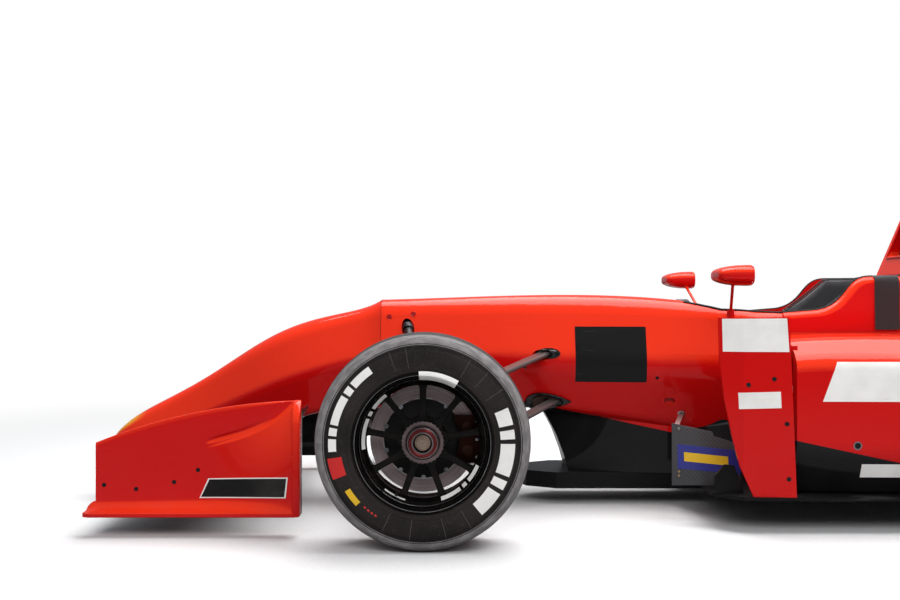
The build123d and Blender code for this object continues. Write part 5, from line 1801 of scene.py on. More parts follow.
@dataclass
class TubTrim:
    """Joint line, caps, blank plates and fasteners of nose and tub."""

    joint_x: float = -0.1475
    plate: tuple[Pair, ...] = ((0.454, 0.386), (0.454, 0.555), (0.669, 0.555), (0.669, 0.386))
    caps: tuple[Pair, ...] = ((-0.121, 0.584), (-0.046, 0.593))
    screws: tuple[Pair, ...] = ((0.700, 0.400), (0.905, 0.452), (0.300, 0.430))

    def build(self) -> None:
        """Both sides alike."""
        line = Skin.band(
            "nose_joint", "nose_cone", at(self.joint_x, 0, 0), Vector(Axis.X.value), 0.0016, 0.0002)
        Bench.fit(line, JOINT_DARK, "red_paint")
        for side in Side:
            plate = Skin.patch(f"tub_plate_{side.word}", "monocoque", list(self.plate), side, 0.001)
            Bench.fit(plate, BLACK_FILM, "dark_carbon")
            self.caps_of(side)
            screws = Bench.studs("monocoque", side, self.screws, 0.0050, 0.0014)
            Bench.group(f"tub_screws_{side.word}", screws, DARK_STEEL, "arm_black")

    def caps_of(self, side: Side) -> None:
        """Two round caps near the damper hatch: a raised rim round a darker sunk disc."""
        for i, (x, z) in enumerate(self.caps):
            place, normal = Bench.touch("monocoque", side.at(x, OUTSIDE, z), side.out(-1))
            rim = Bench.hoop(f"cap_rim_{i}_{side.word}", place, normal, 0.0088, 0.0011, 8)
            Bench.fit(rim, RED, "red_paint", angle=60)
            disc = Bench.rod(
                f"cap_{i}_{side.word}", place - normal * 0.002, place + normal * 0.0004, 0.0085, 32, 0.0002)
            Bench.fit(disc, CAP_RED, "red_paint")


@dataclass
class BoardTrim:
    """Blank panels and fasteners on the boards and vanes beside the tub."""

    panels: tuple[tuple, ...] = (
        ("board_panel", "side_boards", WHITE_FILM, "red_paint", 0.0008,
         (0.8185, 0.4955), (0.8165, 0.5855), (0.9850, 0.5870), (0.9910, 0.4955)),
        ("board_label", "side_boards", WHITE_FILM, "red_paint", 0.0008,
         (0.859, 0.339), (0.857, 0.3835), (0.9685, 0.3875), (0.9705, 0.343)),
        ("vane_panel", "turning_vanes", BLUE_FILM, "vane_grey", 0.0008,
         (0.724, 0.153), (0.722, 0.223), (0.903, 0.2035), (0.904, 0.136)),
        ("vane_bar", "turning_vanes", YELLOW_FILM, "vane_grey", 0.0013,
         (0.742, 0.174), (0.741, 0.200), (0.868, 0.187), (0.869, 0.161)))

    def build(self) -> None:
        """Both sides alike."""
        for side in Side:
            for name, node, finish, slot, rise, *corners in self.panels:
                panel = Skin.patch(f"{name}_{side.word}", node, corners, side, rise)
                Bench.fit(panel, finish, slot)
            self.screws(side)

    def screws(self, side: Side) -> None:
        """Dark screws on the board, brass ones on the vane."""
        dark = Bench.studs(
            "side_boards", side, ((0.8835, 0.4055), (0.9516, 0.4218), (0.985, 0.300), (0.990, 0.150)), 0.0062,
            0.0016)
        Bench.group(f"board_screws_{side.word}", dark, DARK_STEEL, "arm_black")
        brass = Bench.studs(
            "turning_vanes", side, ((0.727, 0.1445), (0.727, 0.1330), (0.893, 0.1200)), 0.0036, 0.0022, 20)
        Bench.group(f"vane_screws_{side.word}", brass, BRASS, "rod_metal")


@dataclass
class PodTrim:
    """Sidepods: blank panels, joint lines, screws and the radiator cores in the ducts."""

    core_x: float = 1.300
    core_half: Pair = (0.122, 0.146)
    core_middle: Pair = (0.450, 0.320)
    fins: int = 46

    def build(self) -> None:
        """Both sides alike."""
        for side in Side:
            node = f"sidepod_{side.word}"
            for name, corners, finish in (
                ("pod_panel", ((1.085, 0.360), (1.125, 0.468), (1.460, 0.468), (1.420, 0.360)), WHITE_FILM),
                ("pod_label", ((1.195, 0.150), (1.195, 0.188), (1.330, 0.188), (1.330, 0.150)), WHITE_FILM),
            ):
                panel = Skin.patch(f"{name}_{side.word}", node, list(corners), side, 0.0008)
                Bench.fit(panel, finish, "red_paint")
            line = Skin.band(
                f"pod_joints_{side.word}", node, at(BODY_JOINT_X, 0, 0.3), Vector((1, 0, 0.12)), *JOINT_LINE)
            Bench.fit(line, JOINT_DARK, "red_paint")
            self.screws(side, node)
            self.core(side)

    def screws(self, side: Side, node: str) -> None:
        """Quarter turn screws along the lower edge and the joint."""
        places = (
            (1.179, 0.240), (1.420, 0.205), (1.690, 0.190), (1.930, 0.250), (1.925, 0.330), (2.150, 0.230))
        rims = Bench.studs(node, side, places, 0.0118, 0.0010, 32)
        heads = Bench.studs(node, side, places, 0.0082, 0.0018, 28)
        Bench.group(f"pod_rims_{side.word}", rims, STEEL, "rod_metal")
        Bench.group(f"pod_screws_{side.word}", heads, DARK_STEEL, "arm_black")

    def core(self, side: Side) -> None:
        """Radiator core: upright tubes with rows of fins in a frame."""
        (y_half, z_half), (y, z) = self.core_half, self.core_middle
        y *= side.value
        frame_bars = [
            Bench.block("bar", at(self.core_x - 0.012, y - y_half, z + s * z_half - 0.006),
                        at(self.core_x + 0.004, y + y_half, z + s * z_half + 0.006), 0.002)
            for s in (-1, 1)]
        tubes = [
            Bench.block("tube", at(self.core_x - 0.006, y + t - 0.0012, z - z_half),
                        at(self.core_x + 0.004, y + t + 0.0012, z + z_half))
            for t in [y_half * (i / 7 - 1) for i in range(15)]]
        fin = Bench.block("fin", at(self.core_x - 0.004, y - y_half, z - z_half + 0.004),
                          at(self.core_x + 0.003, y + y_half, z - z_half + 0.0046))
        Bench.apply(fin, "ARRAY", count=self.fins, use_relative_offset=False, use_constant_offset=True,
                    constant_offset_displace=(0.0, 0.0, (2 * z_half - 0.008) / (self.fins - 1)))
        core = Bench.joined(f"radiator_core_{side.word}", [*frame_bars, *tubes, fin])
        Bench.fit(core, RADIATOR, "engine_metal")


@dataclass
class Mirrors:
    """Rounded mirror shells on thin stalks, with their glass, in place of the plain ones."""

    centre: Pair = (0.430, 0.708)
    rows: tuple[tuple[float, float, float], ...] = (
        (0.8340, 0.0, 0.0), (0.8342, 0.044, 0.0085), (0.8352, 0.056, 0.0128), (0.8385, 0.064, 0.0160),
        (0.8450, 0.070, 0.0192), (0.8560, 0.0740, 0.0230), (0.8720, 0.0770, 0.0264), (0.8930, 0.0788, 0.0290),
        (0.9180, 0.0798, 0.0299), (0.9305, 0.0798, 0.0300), (0.9320, 0.0788, 0.0290),
        (0.9322, 0.0765, 0.0266), (0.9310, 0.0750, 0.0252), (0.9262, 0.0748, 0.0250), (0.9258, 0.0, 0.0))

    def build(self) -> None:
        """Both sides alike."""
        shells = []
        for side in Side:
            word = side.word

            def shape(u: float, v: float) -> Vector:
                """A place on the shell, with a rounded square section."""
                x, wide, tall = self.rows[round(u * (len(self.rows) - 1))]
                a, b = math.cos(math.tau * v), math.sin(math.tau * v)
                y = wide * math.copysign(abs(a) ** 0.62, a)
                z = tall * math.copysign(abs(b) ** 0.62, b)
                return side.at(x, self.centre[0] + y, self.centre[1] + z)

            shell = Bench.weld(Bench.surface(f"shell_{word}", len(self.rows), 65, shape), 1e-5)
            foot, head = side.at(0.924, 0.238, 0.602), side.at(0.900, 0.374, 0.690)
            stalk = Bench.rod(f"stalk_{word}", foot, head, 0.0045, 24)
            pad = Bench.rod(
                f"pad_{word}", foot - Vector((0, 0, 0.004)), foot + Vector((0, 0, 0.006)), 0.0110, 32, 0.002)
            boss = Bench.rod(f"boss_{word}", Bench.along(head, foot, 0.016), head, 0.0062, 24, 0.001)
            shells += [shell, stalk, pad, boss]
            glass = Bench.block(
                f"mirror_glass_{word}",
                at(0.9250, side.value * self.centre[0] - 0.0735, self.centre[1] - 0.0238),
                at(0.9270, side.value * self.centre[0] + 0.0735, self.centre[1] + 0.0238), 0.0008)
            Bench.fit(glass, MIRROR_GLASS, "red_paint")
        mirrors = Bench.joined("mirror_shells", shells)
        Bench.fit(mirrors, RED, "red_paint", angle=40)
        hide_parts("mirrors")


# Suspension


@dataclass
class Suspension:
    """Rod ends, lock nuts, ball caps, pick-up bolts, fairings and shaft boots."""

    ball: float = 0.0165
    front_balls: tuple[Point, ...] = ((0.0, 0.700, 0.352), (0.0, 0.700, 0.178))
    rear_balls: tuple[Point, ...] = ((2.800, 0.6725, 0.372), (2.800, 0.6725, 0.172))
    front_rod: tuple[Point, Point] = ((0.006, 0.638, 0.211), (-0.066, 0.116, 0.570))
    rear_rod: tuple[Point, Point] = ((2.806, 0.6105, 0.205), (2.610, 0.080, 0.385))
    toe_link: tuple[Point, Point] = ((2.905, 0.680, 0.300), (2.935, 0.058, 0.300))
    tie_rod: tuple[Point, Point] = ((-0.105, 0.700, 0.300), (-0.1025, 0.246, 0.400))
    pickups: tuple[Point, ...] = (
        (-0.108, 0.136, 0.500), (0.367, 0.180, 0.473), (-0.040, 0.120, 0.332), (0.400, 0.146, 0.326),
        (2.500, 0.092, 0.388), (2.880, 0.064, 0.368), (2.500, 0.092, 0.172), (2.890, 0.064, 0.207))
    hole: Pair = (0.372, 0.4725)
    hole_half: Pair = (0.036, 0.0165)
    fairing_x: Pair = (0.303, 0.445)
    fairing_z: float = 0.322
    lowest: float = 0.330
    fairing_half: float = 0.0275

    def build(self) -> None:
        """Both sides alike."""
        for side in Side:
            self.joints(side)
            self.rods(side)
            self.recess(side)
            self.fairing(side)
            self.boots(side)

    def line(self, ends: tuple[Point, Point], side: Side) -> tuple[Vector, Vector]:
        """A member's ends on one side, in the frame."""
        return tuple(side.at(x, y, z) for x, y, z in ends)

    def sleeve(self, name: str, ends: tuple[Vector, Vector], low: float, high: float, radius: float,
               sides: int = 28) -> Piece:
        """A sleeve or nut on a member, between two distances from its outer end."""
        start, end = ends
        return Bench.rod(
            name, Bench.along(start, end, low), Bench.along(start, end, high), radius, sides, 0.0012)

    def joints(self, side: Side) -> None:
        """Ball joint caps with nuts, and bolt heads at the pick-ups."""
        made = []
        for i, (x, y, z) in enumerate((*self.front_balls, *self.rear_balls)):
            up = 1 if i % 2 == 0 else -1
            middle = side.at(x, y, z)
            for name, low, high, radius, sides in (
                ("seat", 0.0125, 0.0165, 0.0150, 32), ("nut", 0.0165, 0.0230, 0.0095, 6),
                ("pin", 0.0230, 0.0265, 0.0045, 16),
            ):
                start, end = middle + Vector((0, 0, up * low)), middle + Vector((0, 0, up * high))
                made.append(Bench.rod(f"{name}_{i}", start, end, radius, sides, 0.0008))
        for i, point in enumerate(self.pickups):
            middle = side.at(point[0], point[1], point[2])
            for sign in (-1, 1):
                start, end = middle + Vector((0, 0, sign * 0.0068)), middle + Vector((0, 0, sign * 0.0135))
                made.append(Bench.rod(f"bolt_{i}_{sign}", start, end, 0.0085, 6, 0.0008))
        Bench.group(f"suspension_bolts_{side.word}", made, STEEL, "rod_metal")

    def rods(self, side: Side) -> None:
        """Adjusters and lock nuts on push rods, toe links and track rods."""
        bright, dark = [], []
        for ends, length in ((self.front_rod, 0.6376), (self.rear_rod, 0.5936)):
            member = self.line(ends, side)
            bright.append(self.sleeve("low", member, 0.020, 0.075, 0.0135))
            dark.append(self.sleeve("nut", member, 0.075, 0.086, 0.0160, 6))
            dark += [
                self.sleeve("top", member, length - low, length - high, radius, sides)
                for low, high, radius, sides in (
                    (0.125, 0.112, 0.0165, 6), (0.112, 0.048, 0.0142, 28), (0.048, 0.026, 0.0180, 20))]
        toe = self.line(self.toe_link, side)
        for low in (0.030, 0.560):
            bright.append(self.sleeve("toe", toe, low, low + 0.035, 0.0098))
            dark.append(self.sleeve("nut", toe, low + 0.035, low + 0.043, 0.0120, 6))
        Bench.group(f"rod_sleeves_{side.word}", bright, STEEL, "rod_metal")
        Bench.group(f"rod_nuts_{side.word}", dark, DARK_STEEL, "arm_black")
        tie = self.line(self.tie_rod, side)
        made = [self.sleeve("nut", tie, low, low + 0.012, 0.0108, 6) for low in (0.028, 0.405)]
        made.append(self.sleeve("body", tie, 0.040, 0.405, 0.0088))
        Bench.group(f"tie_rod_nuts_{side.word}", made, STEEL, "rod_metal", f"tie_rod_{side.word}")

    def recess(self, side: Side) -> None:
        """Dark oval rim round the hole of the upper rear arm."""
        (x, z), (long, tall) = self.hole, self.hole_half
        corners = [
            (x - long * math.cos(math.tau * i / 32), z + tall * math.sin(math.tau * i / 32))
            for i in range(32)]
        rim = Skin.patch(f"arm_recess_{side.word}", "monocoque", corners, side, 0.0022)
        Bench.fit(rim, GLOSS_BLACK, "arm_black")
        bolt = Bench.studs("monocoque", side, [(x + 0.026, z)], 0.0062, 0.006, 6)
        Bench.group(f"recess_bolt_{side.word}", bolt, DARK_STEEL, "arm_black")

    def fairing(self, side: Side) -> None:
        """Glossy black teardrop over the lower rear pick-up, with a row of small bolts."""
        x0, x1 = self.fairing_x

        def shape(u: float, v: float, scale: float = 1.0, depth: float = 0.009) -> Vector:
            """A place on the teardrop."""
            half = scale * self.fairing_half * 2.6 * math.sqrt(max(u, 1e-4)) * (1 - u)
            turn = math.pi * (v - 0.5)
            x, z = lerp(x0, x1, 0.42 + (u - 0.42) * scale), self.fairing_z + half * math.sin(turn)
            held = max(z, self.lowest - 0.2 * (x - x0))
            place, _ = Bench.touch("monocoque", side.at(x, OUTSIDE, held), side.out(-1))
            out = depth * min(1.0, 2.4 * math.cos(turn)) * min(1.0, half / 0.008)
            return Vector((place.x, place.y + side.value * (out + 0.0006), z))

        cover = Bench.surface(f"arm_fairing_{side.word}", 40, 24, shape)
        Bench.thick(cover, 0.002)
        Bench.fit(cover, GLOSS_BLACK, "arm_black", angle=50)
        boot = Bench.surface(
            f"arm_shield_{side.word}", 32, 18,
            lambda u, v: shape(u, v, 0.68, 0.0155 + 0.0012 * math.sin(60 * u + 9 * v)))
        Bench.thick(boot, 0.0016)
        Bench.fit(boot, SHIELD, "arm_black", angle=50)
        bolts = []
        for i in range(5):
            u = 0.20 + 0.15 * i
            spot = shape(u, 0.86)
            start = spot - side.out(0.002)
            bolts.append(Bench.rod(f"bolt_{i}", start, spot + side.out(0.0032), 0.0030, 12, 0.0005))
        Bench.group(f"fairing_bolts_{side.word}", bolts, DARK_STEEL, "arm_black")

    def boots(self, side: Side) -> None:
        """Bellows on both joints of a rear drive shaft, each with two clamps."""
        middle = middle_of(f"tyre_rear_{side.word}")
        boots, clamps = [], []
        for name, wide_y, narrow_y, wide, narrow in (
            ("inner", 0.1655, 0.2330, 0.0432, 0.0168), ("outer", 0.6590, 0.5960, 0.0392, 0.0168),
        ):
            outside = []
            folds = 5
            for i in range(4 * folds + 1):
                share = i / (4 * folds)
                ripple = 0.0030 * math.cos(math.tau * folds * share) * (1 - 0.4 * share)
                outside.append(
                    (lerp(wide, narrow + 0.0035, share ** 0.8) + ripple, lerp(wide_y, narrow_y, share)))
            profile = outside + [(narrow - 0.0012, narrow_y), (wide - 0.003, wide_y), outside[0]]
            boots.append(Bench.turned(name, [(r, side.value * y) for r, y in profile], middle, 48))
            for y, radius in ((wide_y, wide + 0.0036), (narrow_y, narrow + 0.0030)):
                band = [(radius, y - 0.003), (radius, y + 0.003), (radius - 0.004, y + 0.003),
                        (radius - 0.004, y - 0.003), (radius, y - 0.003)]
                clamps.append(Bench.turned("clamp", [(r, side.value * w) for r, w in band], middle, 48))
        body = f"wheel_rear_{side.word}"
        Bench.group(f"shaft_boots_{side.word}", boots, BOOT_RUBBER, "tyre_rubber", body)
        Bench.group(f"boot_clamps_{side.word}", clamps, STEEL, "rod_metal", body)


@dataclass
class Vanes:
    """Turning vanes with their stays, in place of the plain ones."""

    outline: tuple[Pair, ...] = (
        (0.707, 0.104), (0.707, 0.283), (0.824, 0.258), (0.826, 0.246), (0.872, 0.232), (0.905, 0.215),
        (0.905, 0.104))
    inner: float = 0.4460
    foot: Point = (0.7206, 0.449, 0.2760)
    tab: Point = (0.780, 0.206, 0.2890)

    def build(self) -> None:
        """Both sides alike."""
        for side in Side:
            outline = [side.at(x, self.inner, z) for x, z in self.outline]
            plate = Bench.plate(f"turning_vane_{side.word}", outline, side.out(0.006), 0.0012)
            Bench.fit(plate, VANE_CARBON, "vane_grey")
            if side is Side.LEFT:
                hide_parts("turning_vanes")
            foot, tab = (side.at(x, y, z) for x, y, z in (self.foot, self.tab))
            bar = Bench.bar("bar", foot, tab, (0.0145, 0, 0), 0.003)
            low = side.at(0.7265, 0.4525, 0.2680)
            ear = Bench.rod("ear", low, low + side.out(0.0030), 0.0048, 6, 0.0005)
            place = [(self.tab[0], self.tab[2])]
            washer = Bench.studs("monocoque", side, place, 0.0105, 0.005, 32)
            Bench.group(f"vane_stay_{side.word}", [bar, ear, *washer], ALLOY, "rod_metal")
            bolt = Bench.studs("monocoque", side, place, 0.0052, 0.0075, 6)
            Bench.group(f"vane_stay_bolt_{side.word}", bolt, DARK_STEEL, "arm_black")


@dataclass
class FrontWingTrim:
    """Strips on the flaps' trailing edges, slot brackets and their bolts."""

    brackets: tuple[float, ...] = (0.235, 0.395, 0.555)
    bracket: tuple[Pair, ...] = (
        (-0.650, 0.118), (-0.640, 0.146), (-0.500, 0.226), (-0.455, 0.250), (-0.450, 0.222), (-0.505, 0.178))

    def build(self) -> None:
        """Both sides alike."""
        for side in Side:
            strips = []
            for name, x, z, near in (("lower", -0.4800, 0.1955, 0.090), ("upper", -0.3725, 0.3015, 0.152)):
                ends = sorted((side.value * near, side.value * 0.6385))
                strips.append(Bench.block(
                    name, at(x - 0.0012, ends[0], z - 0.004), at(x + 0.0012, ends[1], z + 0.0095), 0.0004, 1))
            Bench.group(f"flap_strips_{side.word}", strips, WING_CARBON, "wing_black")
            plates, bolts = [], []
            for y in self.brackets:
                outline = [side.at(x, y, z) for x, z in self.bracket]
                plates.append(Bench.plate("bracket", outline, (0, 0.0025, 0), 0.0006))
                for x, z in ((-0.634, 0.1345), (-0.476, 0.2285)):
                    low, high = at(x, side.value * y - 0.003, z), at(x, side.value * y + 0.0055, z)
                    bolts.append(Bench.rod("bolt", low, high, 0.0045, 6, 0.0005))
            Bench.group(f"slot_brackets_{side.word}", plates, ALLOY, "rod_metal")
            Bench.group(f"slot_bolts_{side.word}", bolts, DARK_STEEL, "arm_black")


# Cockpit fittings


@dataclass
class WheelFace:
    """Steering wheel: carbon face, blank display, buttons, knobs, paddles and its release ring."""

    centre: Point = (0.838, 0.0, 0.556)
    tilt: float = 18.0

    def place(self, across: float, up: float, out: float) -> Vector:
        """A point of the wheel: to the right, up its face and towards the driver."""
        turn = math.radians(self.tilt)
        x, y, z = self.centre
        return at(
            x - math.sin(turn) * up + math.cos(turn) * out, y + across,
            z + math.cos(turn) * up + math.sin(turn) * out)

    def slab(
        self, name: str, half: Pair, middle: Pair, low: float, high: float, corner: float = 0.006,
    ) -> Piece:
        """A rounded plate that lies on the wheel's face."""
        (a, b), (u, v) = half, middle
        outline = []
        for sign_u, sign_v, start in ((1, 1, 0), (-1, 1, 90), (-1, -1, 180), (1, -1, 270)):
            for step in range(5):
                turn = math.radians(start + 22.5 * step)
                outline.append(
                    self.place(
                        u + sign_u * (a - corner) + corner * math.cos(turn),
                        v + sign_v * (b - corner) + corner * math.sin(turn), low))
        return Bench.plate(name, outline, self.place(0, 0, high) - self.place(0, 0, low), 0.0006)

    def knob(self, name: str, spot: Pair, radius: float, low: float, high: float, sides: int = 24) -> Piece:
        """A round control that stands on the face."""
        return Bench.rod(
            name, self.place(*spot, low), self.place(*spot, high), radius, sides, min(0.0012, radius / 4))

    def build(self) -> None:
        """Everything turns with the wheel."""
        body = "steering_wheel"
        face = self.slab("wheel_face", (0.099, 0.0365), (0.0, 0.0), 0.0055, 0.0078, 0.012)
        Bench.fit(face, FACE_CARBON, "grip_rubber", body)
        frame = self.slab("display_frame", (0.043, 0.0185), (0.0, 0.0125), 0.0075, 0.0105, 0.004)
        Bench.fit(frame, MESH_BLACK, "grip_rubber", body)
        screen = self.slab("display", (0.037, 0.0145), (0.0, 0.0125), 0.0100, 0.0112, 0.002)
        Bench.fit(screen, GLOSS_BLACK, "grip_rubber", body)
        buttons = (
            ("red", RED_FILM, ((-0.062, 0.022), (0.062, 0.022))),
            ("yellow", YELLOW_FILM, ((-0.082, 0.010), (0.062, -0.006))),
            ("blue", BLUE_FILM, ((0.082, 0.010), (-0.062, -0.006))),
            ("white", WHITE_FILM, ((-0.082, -0.016), (0.082, -0.016))))
        for name, finish, spots in buttons:
            caps = [self.knob("cap", spot, 0.0052, 0.0075, 0.0135) for spot in spots]
            Bench.group(f"buttons_{name}", caps, finish, "grip_rubber", body)
        collars = [
            self.knob("collar", spot, 0.0072, 0.0070, 0.0100) for _, _, spots in buttons for spot in spots]
        collars += [self.knob("dial", (0.030 * i, -0.0195), 0.0098, 0.0075, 0.0180, 14) for i in (-1, 0, 1)]
        collars += [self.knob("row", (0.012 * i, 0.0325), 0.0022, 0.0075, 0.0098, 12) for i in range(-2, 3)]
        Bench.group("wheel_collars", collars, MESH_BLACK, "grip_rubber", body)
        screws = [
            self.knob("screw", (u, v), 0.0030, 0.0075, 0.0092, 6) for u in (-0.092, 0.092)
            for v in (-0.028, 0.028)]
        screws.append(self.knob("release", (0.0, 0.0), 0.0300, -0.0260, -0.0140, 40))
        Bench.group("wheel_metal", screws, DARK_STEEL, "grip_rubber", body)
        paddles = [
            self.slab(f"paddle_{u}", (0.030, 0.017), (u, 0.010), -0.0175, -0.0150, 0.008)
            for u in (-0.086, 0.086)]
        Bench.group("paddles", paddles, FACE_CARBON, "grip_rubber", body)


@dataclass
class CockpitTrim:
    """Edge trim of the cockpit, the dash's blank panel and its switches."""

    edge: tuple[Pair, ...] = ((0.770, 0.165), (0.900, 0.215), (1.150, 0.238), (1.380, 0.222), (1.480, 0.168))
    steps: int = 22
    inset: float = 0.0045
    above: float = 1.4

    def build(self) -> None:
        """The trim follows the rim, found from above."""
        half = [
            (lerp(x0, x1, i / self.steps), lerp(y0, y1, i / self.steps))
            for (x0, y0), (x1, y1) in zip(self.edge, self.edge[1:]) for i in range(self.steps)]
        for side in Side:
            path = [
                Bench.touch("monocoque", side.at(x, y + self.inset, self.above), DOWN)[0]
                for x, y in half[3:]]
            kept = path[:1]
            for spot in path[1:]:
                if abs(spot.z - kept[-1].z) < 0.03:
                    kept.append(spot)
            trim = Bench.weld(Bench.tube(f"cockpit_trim_{side.word}", kept, 0.0042))
            Bench.fit(trim, BOOT_RUBBER, "pad_foam", angle=50)
        panel = Bench.block("dash_panel", at(0.7215, -0.105, 0.512), at(0.7245, 0.105, 0.592), 0.001)
        Bench.fit(panel, FACE_CARBON, "dark_carbon")
        toggles = []
        for i in range(7):
            foot = at(0.7240, -0.090 + 0.030 * i, 0.575)
            toggles.append(Bench.rod(f"base_{i}", foot, foot + Vector((0.004, 0, 0)), 0.0052, 6, 0.0005))
            toggles.append(
                Bench.rod(f"toggle_{i}", foot, foot + Vector((0.016, 0, 0.006)), 0.0019, 12, 0.0005))
        Bench.group("dash_toggles", toggles, STEEL, "rod_metal")


# Engine cover, tail and floor


@dataclass
class CoverTrim:
    """Intake lip and screen, joint line, screws, exhaust rings, engine and gearbox ribs."""

    window: tuple[Pair, ...] = ((0.092, 0.776), (0.042, 0.912))
    screws: tuple[Pair, ...] = (
        (1.670, 0.560), (1.670, 0.700), (1.800, 0.500), (1.960, 0.480), (2.120, 0.455), (2.290, 0.430))
    gearbox_bolts: tuple[Pair, ...] = (
        (2.163, 0.200), (2.163, 0.270), (2.163, 0.350), (2.163, 0.420), (2.420, 0.180), (2.420, 0.400),
        (2.700, 0.200), (2.700, 0.360), (2.940, 0.230), (2.940, 0.350))

    def build(self) -> None:
        """From the intake to the gearbox."""
        self.intake()
        for side in Side:
            self.gusset(side)
        line = Skin.band(
            "cover_joints", "engine_cover", at(BODY_JOINT_X, 0, 0), Vector((1, 0, 0.25)), *JOINT_LINE)
        Bench.fit(line, JOINT_DARK, "red_paint")
        for side in Side:
            screws = Bench.studs("engine_cover", side, self.screws, 0.0075, 0.0014)
            Bench.group(f"cover_screws_{side.word}", screws, DARK_STEEL, "arm_black")
        self.exhaust()
        for node, places, width, rise, finish, slot in (
            ("engine", (1.700, 1.790, 1.880, 1.970, 2.060, 2.120), 0.008, 0.004, CAST, "engine_metal"),
            (
                "gearbox", (2.185, 2.250, 2.320, 2.470, 2.560, 2.660, 2.780, 2.900), 0.006, 0.005, DARK_CAST,
                "box_metal"),
        ):
            ribs = [
                Skin.band(f"rib_{x}", node, at(x, 0, 0), Vector(Axis.X.value), width, rise) for x in places]
            Bench.group(f"{node}_ribs", ribs, finish, slot)
        for side in Side:
            bolts = Bench.studs("gearbox", side, self.gearbox_bolts, 0.0070, 0.0065, 6)
            bolts += Bench.studs(
                "engine", side, [(x, z) for z in (0.150, 0.440) for x in (1.745, 1.835, 1.925, 2.015)],
                0.0080, 0.0065, 6)
            Bench.group(f"casing_bolts_{side.word}", bolts, DARK_STEEL, "arm_black")

    def front(self, y: float, z: float, deep: float = 0.0) -> Vector:
        """A place on the roll hoop's slanted front, or behind it."""
        return at(1.500 + 0.066 * (z - 0.720) / 0.225 + deep, y, z)

    def intake(self) -> None:
        """A rounded lip round the opening and a wire screen inside it."""
        (wide, low), (narrow, high) = self.window
        outline = [(-wide, low), (-narrow, high), (narrow, high), (wide, low)]
        path = [
            self.front(lerp(y0, y1, i / 16), lerp(z0, z1, i / 16), -0.001)
            for (y0, z0), (y1, z1) in zip(outline, outline[1:] + outline[:1]) for i in range(16)]
        bars = []
        for i in range(11):
            z = lerp(low + 0.006, high - 0.006, i / 10)
            half = lerp(wide, narrow, (z - low) / (high - low)) - 0.001
            bars.append(
                Bench.block(
                    "bar", self.front(-half, z - 0.0007, 0.030), self.front(half, z + 0.0007, 0.0315)))
        for i in range(15):
            y = lerp(-wide + 0.004, wide - 0.004, i / 14)
            top = high if abs(y) < narrow else lerp(high, low, (abs(y) - narrow) / (wide - narrow))
            foot, head = self.front(y, low, 0.031), self.front(y, top, 0.031)
            if (head - foot).length > 0.012:
                bars.append(Bench.rod("wire", foot, head, 0.0008, 6))
        Bench.group("intake_screen", bars, MESH_BLACK, "arm_black")
        edges = [Bench.rod("lip", spot, after, 0.0045, 12) for spot, after in zip(path, path[1:] + path[:1])]
        Bench.group("intake_lip", edges, RED, "red_paint", angle=60)

    def gusset(self, side: Side) -> None:
        """Fairing between the roll hoop, the collar and the cover's front edge."""
        def shape(u: float, v: float) -> Vector:
            """A place on the fairing."""
            z0 = lerp(0.722, 0.8020, u ** 0.8)
            y0 = 0.058 + 0.094 * (0.945 - z0) / 0.225 - 0.006
            y1, z1 = lerp(y0 + 0.010, 0.2600, ease(u)), lerp(0.7190, 0.7060, ease(2 * u - 1))
            hollow = 0.010 * math.sin(math.pi * v) * u * (1 - 0.9 * ease(3 * u - 2))
            return side.at(lerp(1.520, 1.6415, u), lerp(y0, y1, v) - hollow, lerp(z0, z1, v) - hollow)

        fairing = Bench.surface(f"hoop_fairing_{side.word}", 28, 14, shape)
        Bench.thick(fairing, 0.003)
        Bench.fit(fairing, RED, "red_paint", angle=50)

    def exhaust(self) -> None:
        """Rolled end and two clamps of the exhaust pipe."""
        start, end = at(2.420, 0, 0.548), at(2.760, 0, 0.474)
        way = end - start
        rings = [
            Bench.hoop("tip", end, way, 0.0236, 0.0016),
            Bench.hoop("clamp", Bench.along(end, start, 0.050), way, 0.0248, 0.0022),
            Bench.hoop("clamp_2", Bench.along(end, start, 0.200), way, 0.0248, 0.0022)]
        Bench.group("exhaust_rings", rings, EXHAUST, "engine_metal", angle=60)


